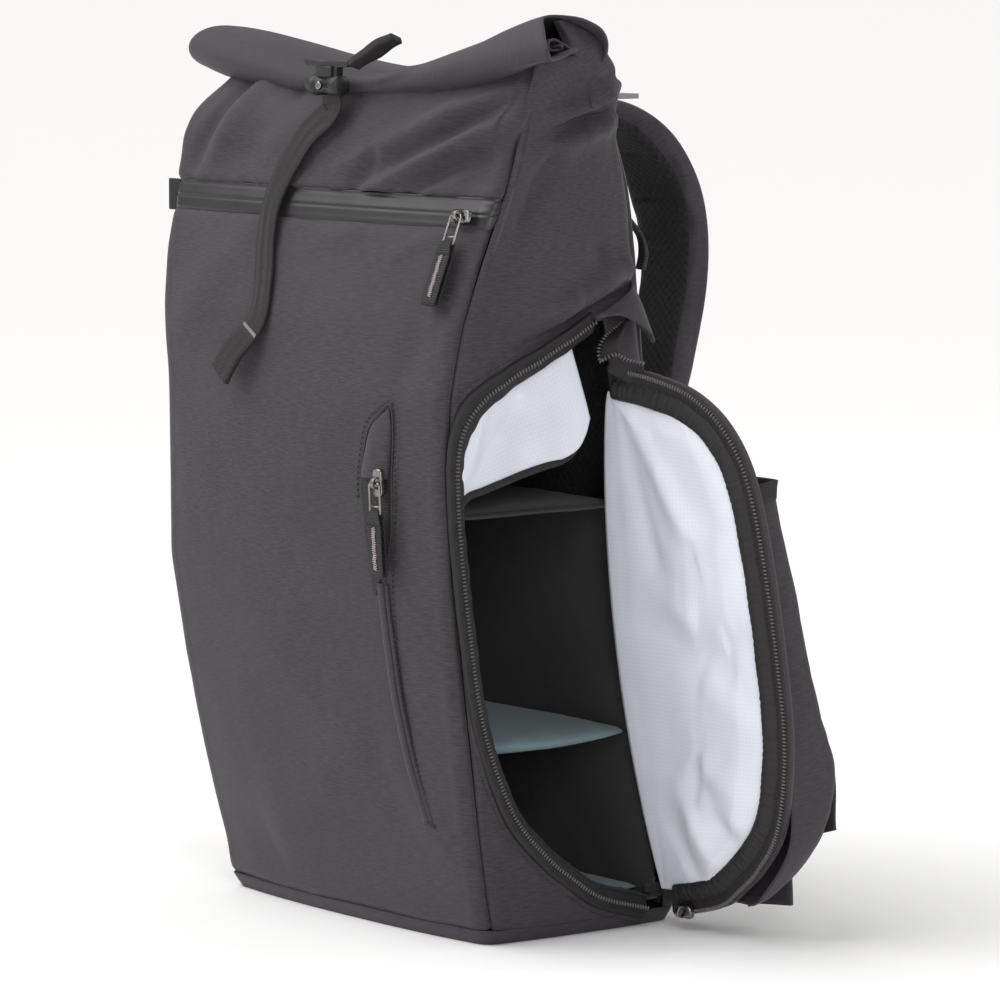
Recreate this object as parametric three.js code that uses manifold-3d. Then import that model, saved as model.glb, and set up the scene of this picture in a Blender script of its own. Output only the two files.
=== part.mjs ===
// A camera backpack with a rolled top, shown with its side door open.
// Millimetres, Z up. The origin is on the floor under the middle of the base, the
// wearer's back is towards +Y, the front panel faces -Y and the door is on the +X side.
import * as THREE from 'three';
import { mergeVertices } from 'three/addons/utils/BufferGeometryUtils.js';
import Module from 'manifold-3d';

const wasm = await Module();
wasm.setup();

// Main sizes of the bag.
const packWidth = 276;
const packDepth = 150;
const packHeight = 545;
const cornerRadius = 12;
const frontCrown = 6;
const sideCrown = 2.5;
const clothWall = 2.4;
const backPadding = 12;
const baseHeight = 9;
const baseWall = 3;
const seamGap = 0.3;
const seamInset = 7;

// Rolled top.
const rollLength = 362;
const rollTall = 44;
const rollDeep = 68;
const rollCloth = 1.7;
const rollMiddleY = -35;

// Front zip, pocket zip and their pulls.
const frontZipHeight = 419;
const frontZipWidth = 17;
const frontZipInsetLeft = 11.6;
const frontZipInsetRight = 7;
const tapeThickness = 1.6;
const endTabWidth = 13;
const endTabThickness = 2.4;
const pocketZipWidth = 9;
const sliderLength = 17;
const sliderWidth = 9;
const sliderHeight = 4;
const archWall = 1.2;
const pullWire = 1.5;
const pullWidth = 12;
const pullLength = 19;
const tagWidth = 13;
const tagLength = 40;
const tagThickness = 3;
const tagLoop = 6;

// Closure strap and its hook buckle.
const closureWidth = 20;
const closureThickness = 1.8;
const closureDrop = 172;
const hookWidth = 44;
const hookDrop = 48;
const leverThickness = 4;
const barrelLength = 30;
const barrelRadius = 6.5;
const pinRadius = 2.6;
const pinLength = 2;
const loopWidth = 13;
const loopThickness = 4.5;

// Side door and the opening it closes.
const doorHeight = 333;
const doorReach = 129;
const openingReach = 122;
const openingHeight = 340;
const openingFoot = 12;
const doorFoot = 8;
const doorThickness = 4;
const doorStandOff = 1.5;
const hingeFootY = 58.8;
const hingeLean = 0.155;
const doorTapeWidth = 8;
const hingeStrip = 6;
const bindingWidth = 9;
const bindingThickness = 2.2;
const liningThickness = 1.5;
const pocketWall = 2;
const pocketTop = 264;

// Padded camera insert inside the door.
const insertClearance = 0.6;
const insertWall = 6;
const insertFloor = 12;
const insertTop = 256;
const shelfHeight = 112;
const shelfThickness = 8;
const padThickness = 5;
const shelfRecess = 22;

// Harness behind the bag.
const strapThickness = 13;
const strapWidth = 66;
const webbingWidth = 20;
const webbingThickness = 1.8;
const lockWidth = 30;
const lockLength = 24;
const lockThickness = 5;
const lockDrop = 5;
const wingThickness = 3;
const plateWidth = 20;
const plateThickness = 3;
const lifterWidth = 14;
const backTagWidth = 7;
const backTagLength = 30;

// Body sections from the base up. Heights are shares of packHeight, half widths are
// shares of half of packWidth, and the front and back places are shares of packDepth.
const bodyRows = [
  { up: 0, left: 0.92, right: 0.891, frontLeft: -0.46, frontRight: -0.46, back: 0.447 },
  { up: 0.0055, left: 0.949, right: 0.92, frontLeft: -0.49, frontRight: -0.49, back: 0.473 },
  { up: 0.0165, left: 0.967, right: 0.938, frontLeft: -0.51, frontRight: -0.51, back: 0.483 },
  { up: 0.057, left: 0.971, right: 0.953, frontLeft: -0.533, frontRight: -0.547, back: 0.473 },
  { up: 0.11, left: 0.993, right: 0.967, frontLeft: -0.58, frontRight: -0.587, back: 0.453 },
  { up: 0.165, left: 1.01, right: 0.978, frontLeft: -0.62, frontRight: -0.62, back: 0.43 },
  { up: 0.273, left: 1.02, right: 0.993, frontLeft: -0.693, frontRight: -0.68, back: 0.387 },
  { up: 0.382, left: 1.04, right: 1, frontLeft: -0.747, frontRight: -0.727, back: 0.34 },
  { up: 0.508, left: 1.04, right: 1, frontLeft: -0.753, frontRight: -0.757, back: 0.293 },
  { up: 0.593, left: 1.05, right: 1, frontLeft: -0.753, frontRight: -0.753, back: 0.26 },
  { up: 0.666, left: 1.1, right: 1, frontLeft: -0.74, frontRight: -0.693, back: 0.233 },
  { up: 0.725, left: 1.15, right: 1, frontLeft: -0.693, frontRight: -0.613, back: 0.213 },
  { up: 0.758, left: 1.16, right: 1, frontLeft: -0.66, frontRight: -0.563, back: 0.2 },
  { up: 0.789, left: 1.17, right: 1, frontLeft: -0.626, frontRight: -0.517, back: 0.187 },
  { up: 0.82, left: 1.19, right: 1.007, frontLeft: -0.6, frontRight: -0.473, back: 0.173 },
  { up: 0.848, left: 1.2, right: 1.014, frontLeft: -0.58, frontRight: -0.447, back: 0.16 },
  { up: 0.881, left: 1.18, right: 1.043, frontLeft: -0.54, frontRight: -0.433, back: 0.133 },
  { up: 0.912, left: 1.11, right: 1.08, frontLeft: -0.45, frontRight: -0.42, back: 0.1 },
  { up: 0.94, left: 1.08, right: 1.1, frontLeft: -0.42, frontRight: -0.4, back: 0.075 },
];

// Folds pressed into the cloth above the front zip. Places across are shares of half of
// packWidth, heights are shares of packHeight, and depth and width are shares of
// cornerRadius.
const foldRows = [
  { fromX: -0.1, fromUp: 0.812, toX: 1.05, toUp: 0.925, depth: 0.3, width: 0.5 },
  { fromX: 0.35, fromUp: 0.815, toX: 1.08, toUp: 0.9, depth: 0.35, width: 0.45 },
  { fromX: -1.1, fromUp: 0.83, toX: -0.7, toUp: 0.9, depth: 0.35, width: 0.6 },
];

// The roll from its left end to its right end. Along is a share of half of rollLength,
// the middle height is a share of packHeight, and tall and deep are shares of
// rollTall and rollDeep.
const rollRows = [
  { along: -1.06, middle: 0.946, tall: 0.6, deep: 0.68 },
  { along: -0.96, middle: 0.941, tall: 0.72, deep: 0.84 },
  { along: -0.7, middle: 0.93, tall: 0.74, deep: 0.95 },
  { along: -0.35, middle: 0.916, tall: 0.66, deep: 0.97 },
  { along: -0.08, middle: 0.911, tall: 0.5, deep: 0.95 },
  { along: 0.12, middle: 0.912, tall: 0.5, deep: 0.95 },
  { along: 0.4, middle: 0.927, tall: 0.72, deep: 0.98 },
  { along: 0.7, middle: 0.945, tall: 0.88, deep: 1 },
  { along: 0.95, middle: 0.958, tall: 0.94, deep: 0.92 },
];

// Outline of the door from its foot to its top. Up is a share of doorHeight, out is a
// share of its reach from the hinge line.
const doorRows = [
  { up: 0, out: 0.1 },
  { up: 0.03, out: 0.38 },
  { up: 0.065, out: 0.53 },
  { up: 0.117, out: 0.7 },
  { up: 0.2, out: 0.87 },
  { up: 0.345, out: 0.98 },
  { up: 0.5, out: 1 },
  { up: 0.69, out: 0.985 },
  { up: 0.83, out: 0.93 },
  { up: 0.915, out: 0.8 },
  { up: 0.965, out: 0.6 },
  { up: 0.988, out: 0.35 },
  { up: 1, out: 0.06 },
];

// Bottle pocket on the outer face of the door. Up is a share of pocketTop, from and to
// are shares of doorReach, and the two depths are shares of doorReach.
const pocketRows = [
  { up: 0.07, from: 0.12, to: 0.62, nearDepth: 0.08, farDepth: 0.1 },
  { up: 0.2, from: 0.09, to: 0.86, nearDepth: 0.12, farDepth: 0.19 },
  { up: 0.35, from: 0.08, to: 0.92, nearDepth: 0.15, farDepth: 0.28 },
  { up: 0.5, from: 0.08, to: 0.93, nearDepth: 0.15, farDepth: 0.22 },
  { up: 0.75, from: 0.08, to: 0.93, nearDepth: 0.12, farDepth: 0.16 },
  { up: 1, from: 0.08, to: 0.9, nearDepth: 0.11, farDepth: 0.13 },
];

// Line of the pocket zip on the front panel, from its top to its foot. Across is a
// share of half of packWidth and up is a share of packHeight.
const pocketZipRows = [
  { across: 0.652, up: 0.566 },
  { across: 0.625, up: 0.49 },
  { across: 0.608, up: 0.43 },
  { across: 0.604, up: 0.37 },
  { across: 0.612, up: 0.31 },
  { across: 0.628, up: 0.25 },
  { across: 0.66, up: 0.19 },
  { across: 0.72, up: 0.132 },
];

// The closure strap from the hook down to its free end. Across is a share of half of
// packWidth, down is a share of closureDrop from the hook's middle and off is how far
// the strap stands off the front, as a share of closureWidth.
const closureRows = [
  { across: -0.07, down: 0.095, off: 0.3 },
  { across: -0.15, down: 0.139, off: 0.28 },
  { across: -0.23, down: 0.193, off: 0.2 },
  { across: -0.32, down: 0.307, off: 0.18 },
  { across: -0.35, down: 0.421, off: 0.2 },
  { across: -0.33, down: 0.545, off: 0.14 },
  { across: -0.285, down: 0.687, off: 0.1 },
  { across: -0.275, down: 0.814, off: 0.17 },
  { across: -0.36, down: 0.919, off: 0.5 },
  { across: -0.435, down: 1.001, off: 0.55 },
];

// The right shoulder strap from the bag's top down to its adjuster. Across is a share
// of half of packWidth, behind is a share of packDepth and up is a share of packHeight.
const strapRows = [
  { across: 0.42, behind: 0.19, up: 0.876, width: 0.8, thick: 0.6 },
  { across: 0.46, behind: 0.36, up: 0.886, width: 0.95, thick: 0.9 },
  { across: 0.48, behind: 0.57, up: 0.855, width: 1, thick: 1 },
  { across: 0.485, behind: 0.71, up: 0.805, width: 1, thick: 1 },
  { across: 0.49, behind: 0.765, up: 0.748, width: 0.98, thick: 1 },
  { across: 0.51, behind: 0.745, up: 0.68, width: 0.94, thick: 1 },
  { across: 0.55, behind: 0.66, up: 0.61, width: 0.86, thick: 1 },
  { across: 0.61, behind: 0.58, up: 0.545, width: 0.76, thick: 0.9 },
  { across: 0.68, behind: 0.545, up: 0.485, width: 0.62, thick: 0.7 },
];

// The lower wing that runs from the back's foot to the end of the strap's webbing.
// Across is a share of half of packWidth, behind is a share of packDepth, and low and
// high are shares of packHeight.
const wingRows = [
  { across: 0.82, behind: 0.494, low: 0.02, high: 0.15 },
  { across: 0.98, behind: 0.53, low: 0.022, high: 0.15 },
  { across: 1.22, behind: 0.62, low: 0.025, high: 0.15 },
  { across: 1.46, behind: 0.65, low: 0.03, high: 0.15 },
];

// Sections of a padded strap, as shares of half its width and half its thickness.
const roundedSection = [
  [-1, -0.35], [-0.86, -0.85], [0, -1], [0.86, -0.85], [1, -0.35],
  [1, 0.35], [0.86, 0.85], [0, 1], [-0.86, 0.85], [-1, 0.35],
];
const flatSection = [[-1, -1], [1, -1], [1, 1], [-1, 1]];

const halfWidth = packWidth / 2;
const hookHeight = packHeight - hookDrop;
const bodyTop = packHeight * bodyRows[bodyRows.length - 1].up;
const left = -1;
const right = 1;

const colours = {
  cloth: { color: 0x514d52, roughness: 0.85, metalness: 0 },
  lining: { color: 0xcdd2de, roughness: 0.6, metalness: 0 },
  binding: { color: 0x2d292a, roughness: 0.8, metalness: 0 },
  zip: { color: 0x3e3f3f, roughness: 0.5, metalness: 0 },
  webbing: { color: 0x322e2e, roughness: 0.8, metalness: 0 },
  insert: { color: 0x151516, roughness: 0.9, metalness: 0 },
  divider: { color: 0x6e8c96, roughness: 0.9, metalness: 0 },
  metal: { color: 0x82807a, roughness: 0.35, metalness: 1 },
  plastic: { color: 0x1b1b1c, roughness: 0.45, metalness: 0 },
};

const pack = new THREE.Group();

function toSolid(geometry) {
  const plain = geometry.clone();
  plain.deleteAttribute('normal');
  plain.deleteAttribute('uv');
  const merged = mergeVertices(plain, 0.0001);
  const mesh = new wasm.Mesh({
    numProp: 3,
    vertProperties: merged.attributes.position.array,
    triVerts: merged.index.array,
  });
  return new wasm.Manifold(mesh);
}

function toGeometry(solid) {
  const mesh = solid.getMesh();
  const geometry = new THREE.BufferGeometry();
  const points = new Float32Array(mesh.vertProperties);
  geometry.setAttribute('position', new THREE.BufferAttribute(points, 3));
  geometry.setIndex(new THREE.BufferAttribute(new Uint32Array(mesh.triVerts), 1));
  return geometry;
}

function addPiece(name, solid, colour, parent = pack) {
  const geometry = solid.isBufferGeometry ? solid : toGeometry(solid);
  const material = new THREE.MeshStandardMaterial(colour);
  const mesh = new THREE.Mesh(geometry, material);
  mesh.name = name;
  parent.add(mesh);
  return mesh;
}

// A closed skin through rings of points with a flat fan at each end.
function skin(rings) {
  const count = rings[0].length;
  const points = rings.flat();
  const index = [];
  for (let k = 0; k < rings.length - 1; k += 1) {
    for (let i = 0; i < count; i += 1) {
      const next = (i + 1) % count;
      const a = k * count + i;
      const b = k * count + next;
      index.push(a, b, b + count, a, b + count, a + count);
    }
  }
  const last = (rings.length - 1) * count;
  const startFlat = flatten(rings[0].map((p) => new THREE.Vector3(...p)));
  const startTurned = THREE.ShapeUtils.isClockWise(startFlat);
  for (const [i, j, k] of THREE.ShapeUtils.triangulateShape(startFlat, [])) {
    index.push(i, startTurned ? j : k, startTurned ? k : j);
  }
  const endFlat = flatten(rings[rings.length - 1].map((p) => new THREE.Vector3(...p)));
  const endTurned = THREE.ShapeUtils.isClockWise(endFlat);
  for (const [i, j, k] of THREE.ShapeUtils.triangulateShape(endFlat, [])) {
    index.push(last + i, last + (endTurned ? k : j), last + (endTurned ? j : k));
  }
  const geometry = new THREE.BufferGeometry();
  const places = new Float32Array(points.flat());
  geometry.setAttribute('position', new THREE.BufferAttribute(places, 3));
  geometry.setIndex(index);
  return geometry;
}

// Lays a ring of points into its own plane, seen against its own normal.
function flatten(outline) {
  const normal = new THREE.Vector3();
  outline.forEach((p, i) => {
    const q = outline[(i + 1) % outline.length];
    normal.add(new THREE.Vector3().crossVectors(p, q));
  });
  normal.normalize();
  const across = new THREE.Vector3().subVectors(outline[1], outline[0]);
  across.addScaledVector(normal, -across.dot(normal)).normalize();
  const along = new THREE.Vector3().crossVectors(normal, across);
  return outline.map((p) => new THREE.Vector2(p.dot(across), p.dot(along)));
}

// A value of a table at a height or place between its rows.
function between(rows, key, place, column) {
  const last = rows.length - 1;
  if (place <= rows[0][key]) return rows[0][column];
  if (place >= rows[last][key]) return rows[last][column];
  const upper = rows.findIndex((row) => row[key] > place);
  const lower = upper - 1;
  const share = (place - rows[lower][key]) / (rows[upper][key] - rows[lower][key]);
  return rows[lower][column] + share * (rows[upper][column] - rows[lower][column]);
}

// Outer limits of the bag at a height.
function limitsAt(height) {
  const up = height / packHeight;
  return {
    left: -between(bodyRows, 'up', up, 'left') * halfWidth,
    right: between(bodyRows, 'up', up, 'right') * halfWidth,
    frontLeft: between(bodyRows, 'up', up, 'frontLeft') * packDepth,
    frontRight: between(bodyRows, 'up', up, 'frontRight') * packDepth,
    back: between(bodyRows, 'up', up, 'back') * packDepth,
  };
}

// How far the folds press the front cloth inwards at a place, never as far as the seam.
function foldDepth(x, height) {
  let depth = 0;
  for (const fold of foldRows) {
    const start = new THREE.Vector2(fold.fromX * halfWidth, fold.fromUp * packHeight);
    const end = new THREE.Vector2(fold.toX * halfWidth, fold.toUp * packHeight);
    const line = end.clone().sub(start);
    const place = new THREE.Vector2(x, height).sub(start);
    const along = place.dot(line) / line.lengthSq();
    if (along > 0 && along < 1.05) {
      const aside = Math.abs(place.cross(line)) / line.length() / (fold.width * cornerRadius);
      const fade = Math.sin(Math.min(along * 2, 1) * Math.PI / 2);
      depth += fold.depth * cornerRadius * fade * Math.exp(-aside * aside);
    }
  }
  return Math.min(depth, seamInset - clothWall - 3 * seamGap);
}

// Where the front cloth lies on one ring at a place across.
function frontOfRing(ring, x) {
  const next = ring.findIndex((point) => point[0] > x);
  const [low, high] = [ring[Math.max(next - 1, 0)], ring[Math.max(next, 1)]];
  const share = (x - low[0]) / (high[0] - low[0]);
  return low[1] + share * (high[1] - low[1]);
}

// Where the front cloth lies at a place across and a height, between the sections.
function frontAt(x, height) {
  const rows = bodyRows.map((row) => row.up * packHeight);
  const upper = Math.max(rows.findIndex((place) => place > height), 1);
  const [low, high] = [rows[upper - 1], rows[upper]];
  const share = (height - low) / (high - low);
  const lowFront = frontOfRing(bagRing(low, 0, 0), x);
  const highFront = frontOfRing(bagRing(high, 0, 0), x);
  return lowFront + share * (highFront - lowFront);
}

function backAt(height) {
  return limitsAt(height).back;
}

// One ring round the bag at a height, moved outwards by grow and forwards by padding.
function bagRing(height, grow, padding) {
  const at = limitsAt(height);
  const cornerSteps = 3;
  const radius = Math.max(cornerRadius + grow, 4);
  const corners = [
    [at.left - grow, at.frontLeft - grow],
    [at.right + grow, at.frontRight - grow],
    [at.right + grow, at.back + grow - padding],
    [at.left - grow, at.back + grow - padding],
  ].map((p) => new THREE.Vector2(...p));
  const edgeSteps = [10, 5, 4, 5];
  const bulges = [frontCrown, sideCrown, 0, sideCrown];
  const outward = [[0, -1], [1, 0], [0, 1], [-1, 0]];
  const ring = [];
  for (let side = 0; side < 4; side += 1) {
    const from = corners[side];
    const to = corners[(side + 1) % 4];
    const after = corners[(side + 2) % 4];
    const run = to.clone().sub(from);
    const start = from.clone().addScaledVector(run.clone().normalize(), radius);
    const end = to.clone().addScaledVector(run.clone().normalize(), -radius);
    for (let step = 0; step <= edgeSteps[side]; step += 1) {
      const share = step / edgeSteps[side];
      const point = start.clone().lerp(end, share);
      const swell = bulges[side] * (1 - Math.abs(2 * share - 1) ** 2.5);
      const fade = 1 - Math.abs(2 * share - 1) ** 6;
      const fold = side === 0 ? foldDepth(point.x, height) * fade : 0;
      ring.push([
        point.x + outward[side][0] * swell,
        point.y + outward[side][1] * (swell - fold),
        height,
      ]);
    }
    const turnEnd = to.clone().addScaledVector(after.clone().sub(to).normalize(), radius);
    for (let step = 1; step < cornerSteps + 1; step += 1) {
      const share = step / (cornerSteps + 1);
      const bend = new THREE.QuadraticBezierCurve(end, to, turnEnd).getPoint(share);
      ring.push([bend.x, bend.y, height]);
    }
  }
  return ring;
}

// The bag's full form between two heights, moved outwards by grow.
function bagForm(grow, padding = 0, low = 0, high = bodyTop) {
  const rows = bodyRows.map((row) => row.up * packHeight);
  const heights = rows.filter((height) => height > low + 1 && height < high - 1);
  const rings = [low, ...heights, high].map((h) => bagRing(h, grow, padding));
  return toSolid(skin(rings));
}

// A block in front of the line where the front panel meets the sides.
function frontBlock(inset) {
  const reach = packWidth;
  const rings = bodyRows.map((row) => {
    const height = row.up * packHeight;
    const at = limitsAt(height);
    return [
      [-reach, at.frontLeft - reach, height],
      [reach, at.frontRight - reach, height],
      [reach, at.frontRight + inset, height],
      [-reach, at.frontLeft + inset, height],
    ];
  });
  return toSolid(skin(rings));
}

// A block behind the line where the back panel meets the sides.
function backBlock(inset) {
  const reach = packWidth;
  const rings = bodyRows.map((row) => {
    const height = row.up * packHeight;
    const at = limitsAt(height);
    return [
      [-reach, at.back - inset, height],
      [reach, at.back - inset, height],
      [reach, at.back + reach, height],
      [-reach, at.back + reach, height],
    ];
  });
  return toSolid(skin(rings));
}

function block(lowX, highX, lowY, highY, lowZ, highZ) {
  const geometry = new THREE.BoxGeometry(highX - lowX, highY - lowY, highZ - lowZ);
  geometry.translate((lowX + highX) / 2, (lowY + highY) / 2, (lowZ + highZ) / 2);
  return toSolid(geometry);
}

function layer(lowZ, highZ) {
  return block(-packWidth, packWidth, -packWidth, packWidth, lowZ, highZ);
}

// A prism along X from an outline of [y, z] places.
function prismAlongX(outline, lowX, highX) {
  const shape = new THREE.Shape(outline.map(([y, z]) => new THREE.Vector2(y, z)));
  const geometry = new THREE.ExtrudeGeometry(shape, { depth: highX - lowX, bevelEnabled: false });
  const yAxis = new THREE.Vector3(0, 1, 0);
  const zAxis = new THREE.Vector3(0, 0, 1);
  const xAxis = new THREE.Vector3(1, 0, 0);
  geometry.applyMatrix4(new THREE.Matrix4().makeBasis(yAxis, zAxis, xAxis));
  geometry.translate(lowX, 0, 0);
  return toSolid(geometry);
}

// A prism along -Y from an outline of [x, z] places.
function prismAlongFront(outline, nearY, depth) {
  const shape = new THREE.Shape(outline.map(([x, z]) => new THREE.Vector2(x, z)));
  const geometry = new THREE.ExtrudeGeometry(shape, { depth, bevelEnabled: false });
  const xAxis = new THREE.Vector3(1, 0, 0);
  const zAxis = new THREE.Vector3(0, 0, 1);
  const forward = new THREE.Vector3(0, -1, 0);
  geometry.applyMatrix4(new THREE.Matrix4().makeBasis(xAxis, zAxis, forward));
  geometry.translate(0, nearY, 0);
  return toSolid(geometry);
}

// The spiral of the rolled cloth, as unit places: one full turn over the top and the
// front, then a smaller turn inside it.
function spiralPlaces() {
  const places = [];
  for (let angle = -65; angle <= 560; angle += 22) {
    const inside = Math.min(Math.max((angle - 215) / 110, 0), 1);
    const size = 1 - 0.4 * inside - 0.3 * Math.max(angle - 325, 0) / 235;
    const turn = THREE.MathUtils.degToRad(angle);
    places.push([-0.36 * inside + size * Math.cos(turn), size * Math.sin(turn)]);
  }
  return places;
}

function rollRing(row) {
  const x = row.along * rollLength / 2;
  const deep = row.deep * rollDeep / 2;
  const tall = row.tall * rollTall / 2;
  const middle = row.middle * packHeight;
  const line = spiralPlaces().map(([u, v]) => new THREE.Vector2(
    rollMiddleY + u * (deep - rollCloth / 2),
    middle + v * (tall - rollCloth / 2),
  ));
  const outer = [];
  const inner = [];
  line.forEach((point, i) => {
    const before = line[Math.max(i - 1, 0)];
    const after = line[Math.min(i + 1, line.length - 1)];
    const run = after.clone().sub(before).normalize();
    outer.push([x, point.x + run.y * rollCloth / 2, point.y - run.x * rollCloth / 2]);
    inner.push([x, point.x - run.y * rollCloth / 2, point.y + run.x * rollCloth / 2]);
  });
  return [...outer, ...inner.reverse()];
}

function rollTop() {
  return skin(rollRows.map(rollRing));
}

// Everything the roll takes away from the cloth below it.
function rollCutter() {
  const sides = 14;
  const reach = packWidth;
  const rowsWide = [
    { ...rollRows[0], along: -1.3 },
    ...rollRows,
    { ...rollRows[rollRows.length - 1], along: 1.3 },
  ];
  const rings = rowsWide.map((row) => {
    const x = row.along * rollLength / 2;
    const middle = row.middle * packHeight;
    const ring = [];
    for (let i = 0; i <= sides; i += 1) {
      const turn = Math.PI + Math.PI * i / sides;
      ring.push([
        x,
        rollMiddleY + Math.cos(turn) * (row.deep * rollDeep / 2 + seamGap * 2),
        middle + Math.sin(turn) * (row.tall * rollTall / 2 + seamGap * 2),
      ]);
    }
    ring.unshift([x, -reach, middle]);
    ring.push([x, reach, middle], [x, reach, middle + reach], [x, -reach, middle + reach]);
    return ring;
  });
  return toSolid(skin(rings));
}

// Places along the door's free edge, in its own plane, moved inwards by inset.
function doorOutline(reach, inset) {
  const points = doorRows.map((row) => new THREE.Vector2(row.out * reach, row.up * doorHeight));
  const curve = new THREE.SplineCurve(points);
  const edge = curve.getPoints(26);
  const moved = edge.map((point, i) => {
    const before = edge[Math.max(i - 1, 0)];
    const after = edge[Math.min(i + 1, edge.length - 1)];
    const run = after.clone().sub(before).normalize();
    return new THREE.Vector2(point.x - run.y * inset, point.y + run.x * inset);
  });
  const rising = moved.filter((p, i) => moved.slice(0, i).every((q) => q.y < p.y));
  return rising.map((p) => new THREE.Vector2(Math.max(p.x, 0), p.y));
}

function doorShape(reach, inset, hingeSide) {
  const edge = doorOutline(reach, inset).filter((p) => p.x > hingeSide + 1);
  const first = edge[0];
  const last = edge[edge.length - 1];
  return [[hingeSide, first.y], ...edge.map((p) => [p.x, p.y]), [hingeSide, last.y]];
}

// The opening in the side of the bag, seen from +X, grown by margin.
function openingOutline(margin) {
  const edge = doorOutline(openingReach, -margin).filter((p) => p.x > -margin);
  const places = edge.map((p) => {
    const height = openingFoot + p.y * openingHeight / doorHeight;
    return [hingeFootY - hingeLean * height - p.x, height];
  });
  const low = places[0][1];
  const high = places[places.length - 1][1];
  places.unshift([hingeFootY - hingeLean * low + margin, low]);
  places.push([hingeFootY - hingeLean * high + margin, high]);
  return places.reverse();
}

// A flat or padded strip through rows of places. Each row gives its middle, its width
// and its thickness. The width runs as near as it can along the given direction.
function strip(rows, across, steps, section = flatSection) {
  const middles = rows.map((row) => new THREE.Vector3(...row.at));
  const curve = new THREE.CatmullRomCurve3(middles, false, 'centripetal');
  const rings = [];
  for (let step = 0; step <= steps; step += 1) {
    const share = step / steps;
    const place = share * (rows.length - 1);
    const row = Math.min(Math.floor(place), rows.length - 2);
    const part = place - row;
    const width = rows[row].width + part * (rows[row + 1].width - rows[row].width);
    const thick = rows[row].thick + part * (rows[row + 1].thick - rows[row].thick);
    const point = curve.getPoint(share);
    const run = curve.getTangent(share);
    const wide = new THREE.Vector3(...(rows[row].across ?? across));
    wide.lerp(new THREE.Vector3(...(rows[row + 1].across ?? across)), part);
    const side = wide.addScaledVector(run, -wide.dot(run)).normalize();
    const face = new THREE.Vector3().crossVectors(run, side);
    rings.push(section.map(([u, v]) => {
      const p = point.clone().addScaledVector(side, u * width / 2);
      p.addScaledVector(face, v * thick / 2);
      return [p.x, p.y, p.z];
    }));
  }
  return skin(rings);
}

// Body panels, cut from one hollow form so that each meets the next along a seam.
function bodyPanels() {
  const outer = bagForm(0);
  const hollow = bagForm(-clothWall, backPadding - clothWall, baseWall);
  const shell = outer.subtract(hollow).subtract(rollCutter());
  const front = frontBlock(seamInset);
  const frontGap = frontBlock(seamInset + seamGap);
  const back = backBlock(backPadding + seamGap);
  const backGap = backBlock(backPadding + 2 * seamGap);
  const upper = shell.subtract(layer(-1, baseHeight));
  const zipTop = frontZipHeight + frontZipWidth;
  const frontCloth = upper.intersect(front);
  const aboveZip = layer(frontZipHeight - seamGap, packHeight);
  addPiece('front_panel', frontCloth.subtract(aboveZip), colours.cloth);
  addPiece('upper_front_panel', frontCloth.subtract(layer(-1, zipTop + seamGap)), colours.cloth);
  addPiece('back_panel', upper.intersect(back), colours.cloth);
  const sides = upper.subtract(frontGap).subtract(backGap);
  const opening = prismAlongX(openingOutline(0), packWidth / 4, packWidth);
  const rightHalf = block(0, packWidth, -packWidth, packWidth, -1, packHeight);
  addPiece('side_panel_left', sides.subtract(rightHalf), colours.cloth);
  addPiece('side_panel_right', sides.intersect(rightHalf).subtract(opening), colours.cloth);
  addPiece('base_panel', shell.intersect(layer(-1, baseHeight - seamGap)), colours.cloth);
  addPiece('roll_top', rollTop(), colours.cloth);
}

function frontZip() {
  const low = frontZipHeight;
  const band = bagForm(tapeThickness / 2).subtract(bagForm(-tapeThickness / 2));
  const edge = limitsAt(low);
  const zipLeft = edge.left + frontZipInsetLeft;
  const zipRight = edge.right - frontZipInsetRight;
  const strap = block(zipLeft, zipRight, -packWidth, 0, low, low + frontZipWidth);
  const tape = band.intersect(strap).intersect(frontBlock(seamInset - seamGap));
  addPiece('front_zip_tape', tape, colours.zip);
}

function pocketZip() {
  const places = pocketZipRows.map((row) => [row.across * halfWidth, row.up * packHeight]);
  const line = new THREE.SplineCurve(places.map((place) => new THREE.Vector2(...place)));
  const steps = 16;
  const points = line.getPoints(steps);
  const sideOf = (inset) => points.map((p, i) => {
    const run = points[Math.min(i + 1, steps)].clone().sub(points[Math.max(i - 1, 0)]).normalize();
    return [p.x + run.y * inset, p.y - run.x * inset];
  });
  const outline = [...sideOf(pocketZipWidth / 2), ...sideOf(-pocketZipWidth / 2).reverse()];
  const cover = bagForm(seamGap + tapeThickness).subtract(bagForm(seamGap));
  addPiece('pocket_zip_tape', cover.intersect(prismAlongFront(outline, 0, packWidth)), colours.zip);
}

function openingZip() {
  const cover = bagForm(seamGap + tapeThickness).subtract(bagForm(seamGap));
  const ring = prismAlongX(openingOutline(doorTapeWidth), packWidth / 4, packWidth)
    .subtract(prismAlongX(openingOutline(0), 0, packWidth * 2));
  const hingeSide = prismAlongX([
    [hingeFootY - seamGap * 2, -packHeight], [packWidth, -packHeight],
    [packWidth, packHeight], [hingeFootY - seamGap * 2 - hingeLean * packHeight, packHeight],
  ], 0, packWidth);
  addPiece('opening_zip_tape', cover.intersect(ring).subtract(hingeSide), colours.zip);
}

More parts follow.
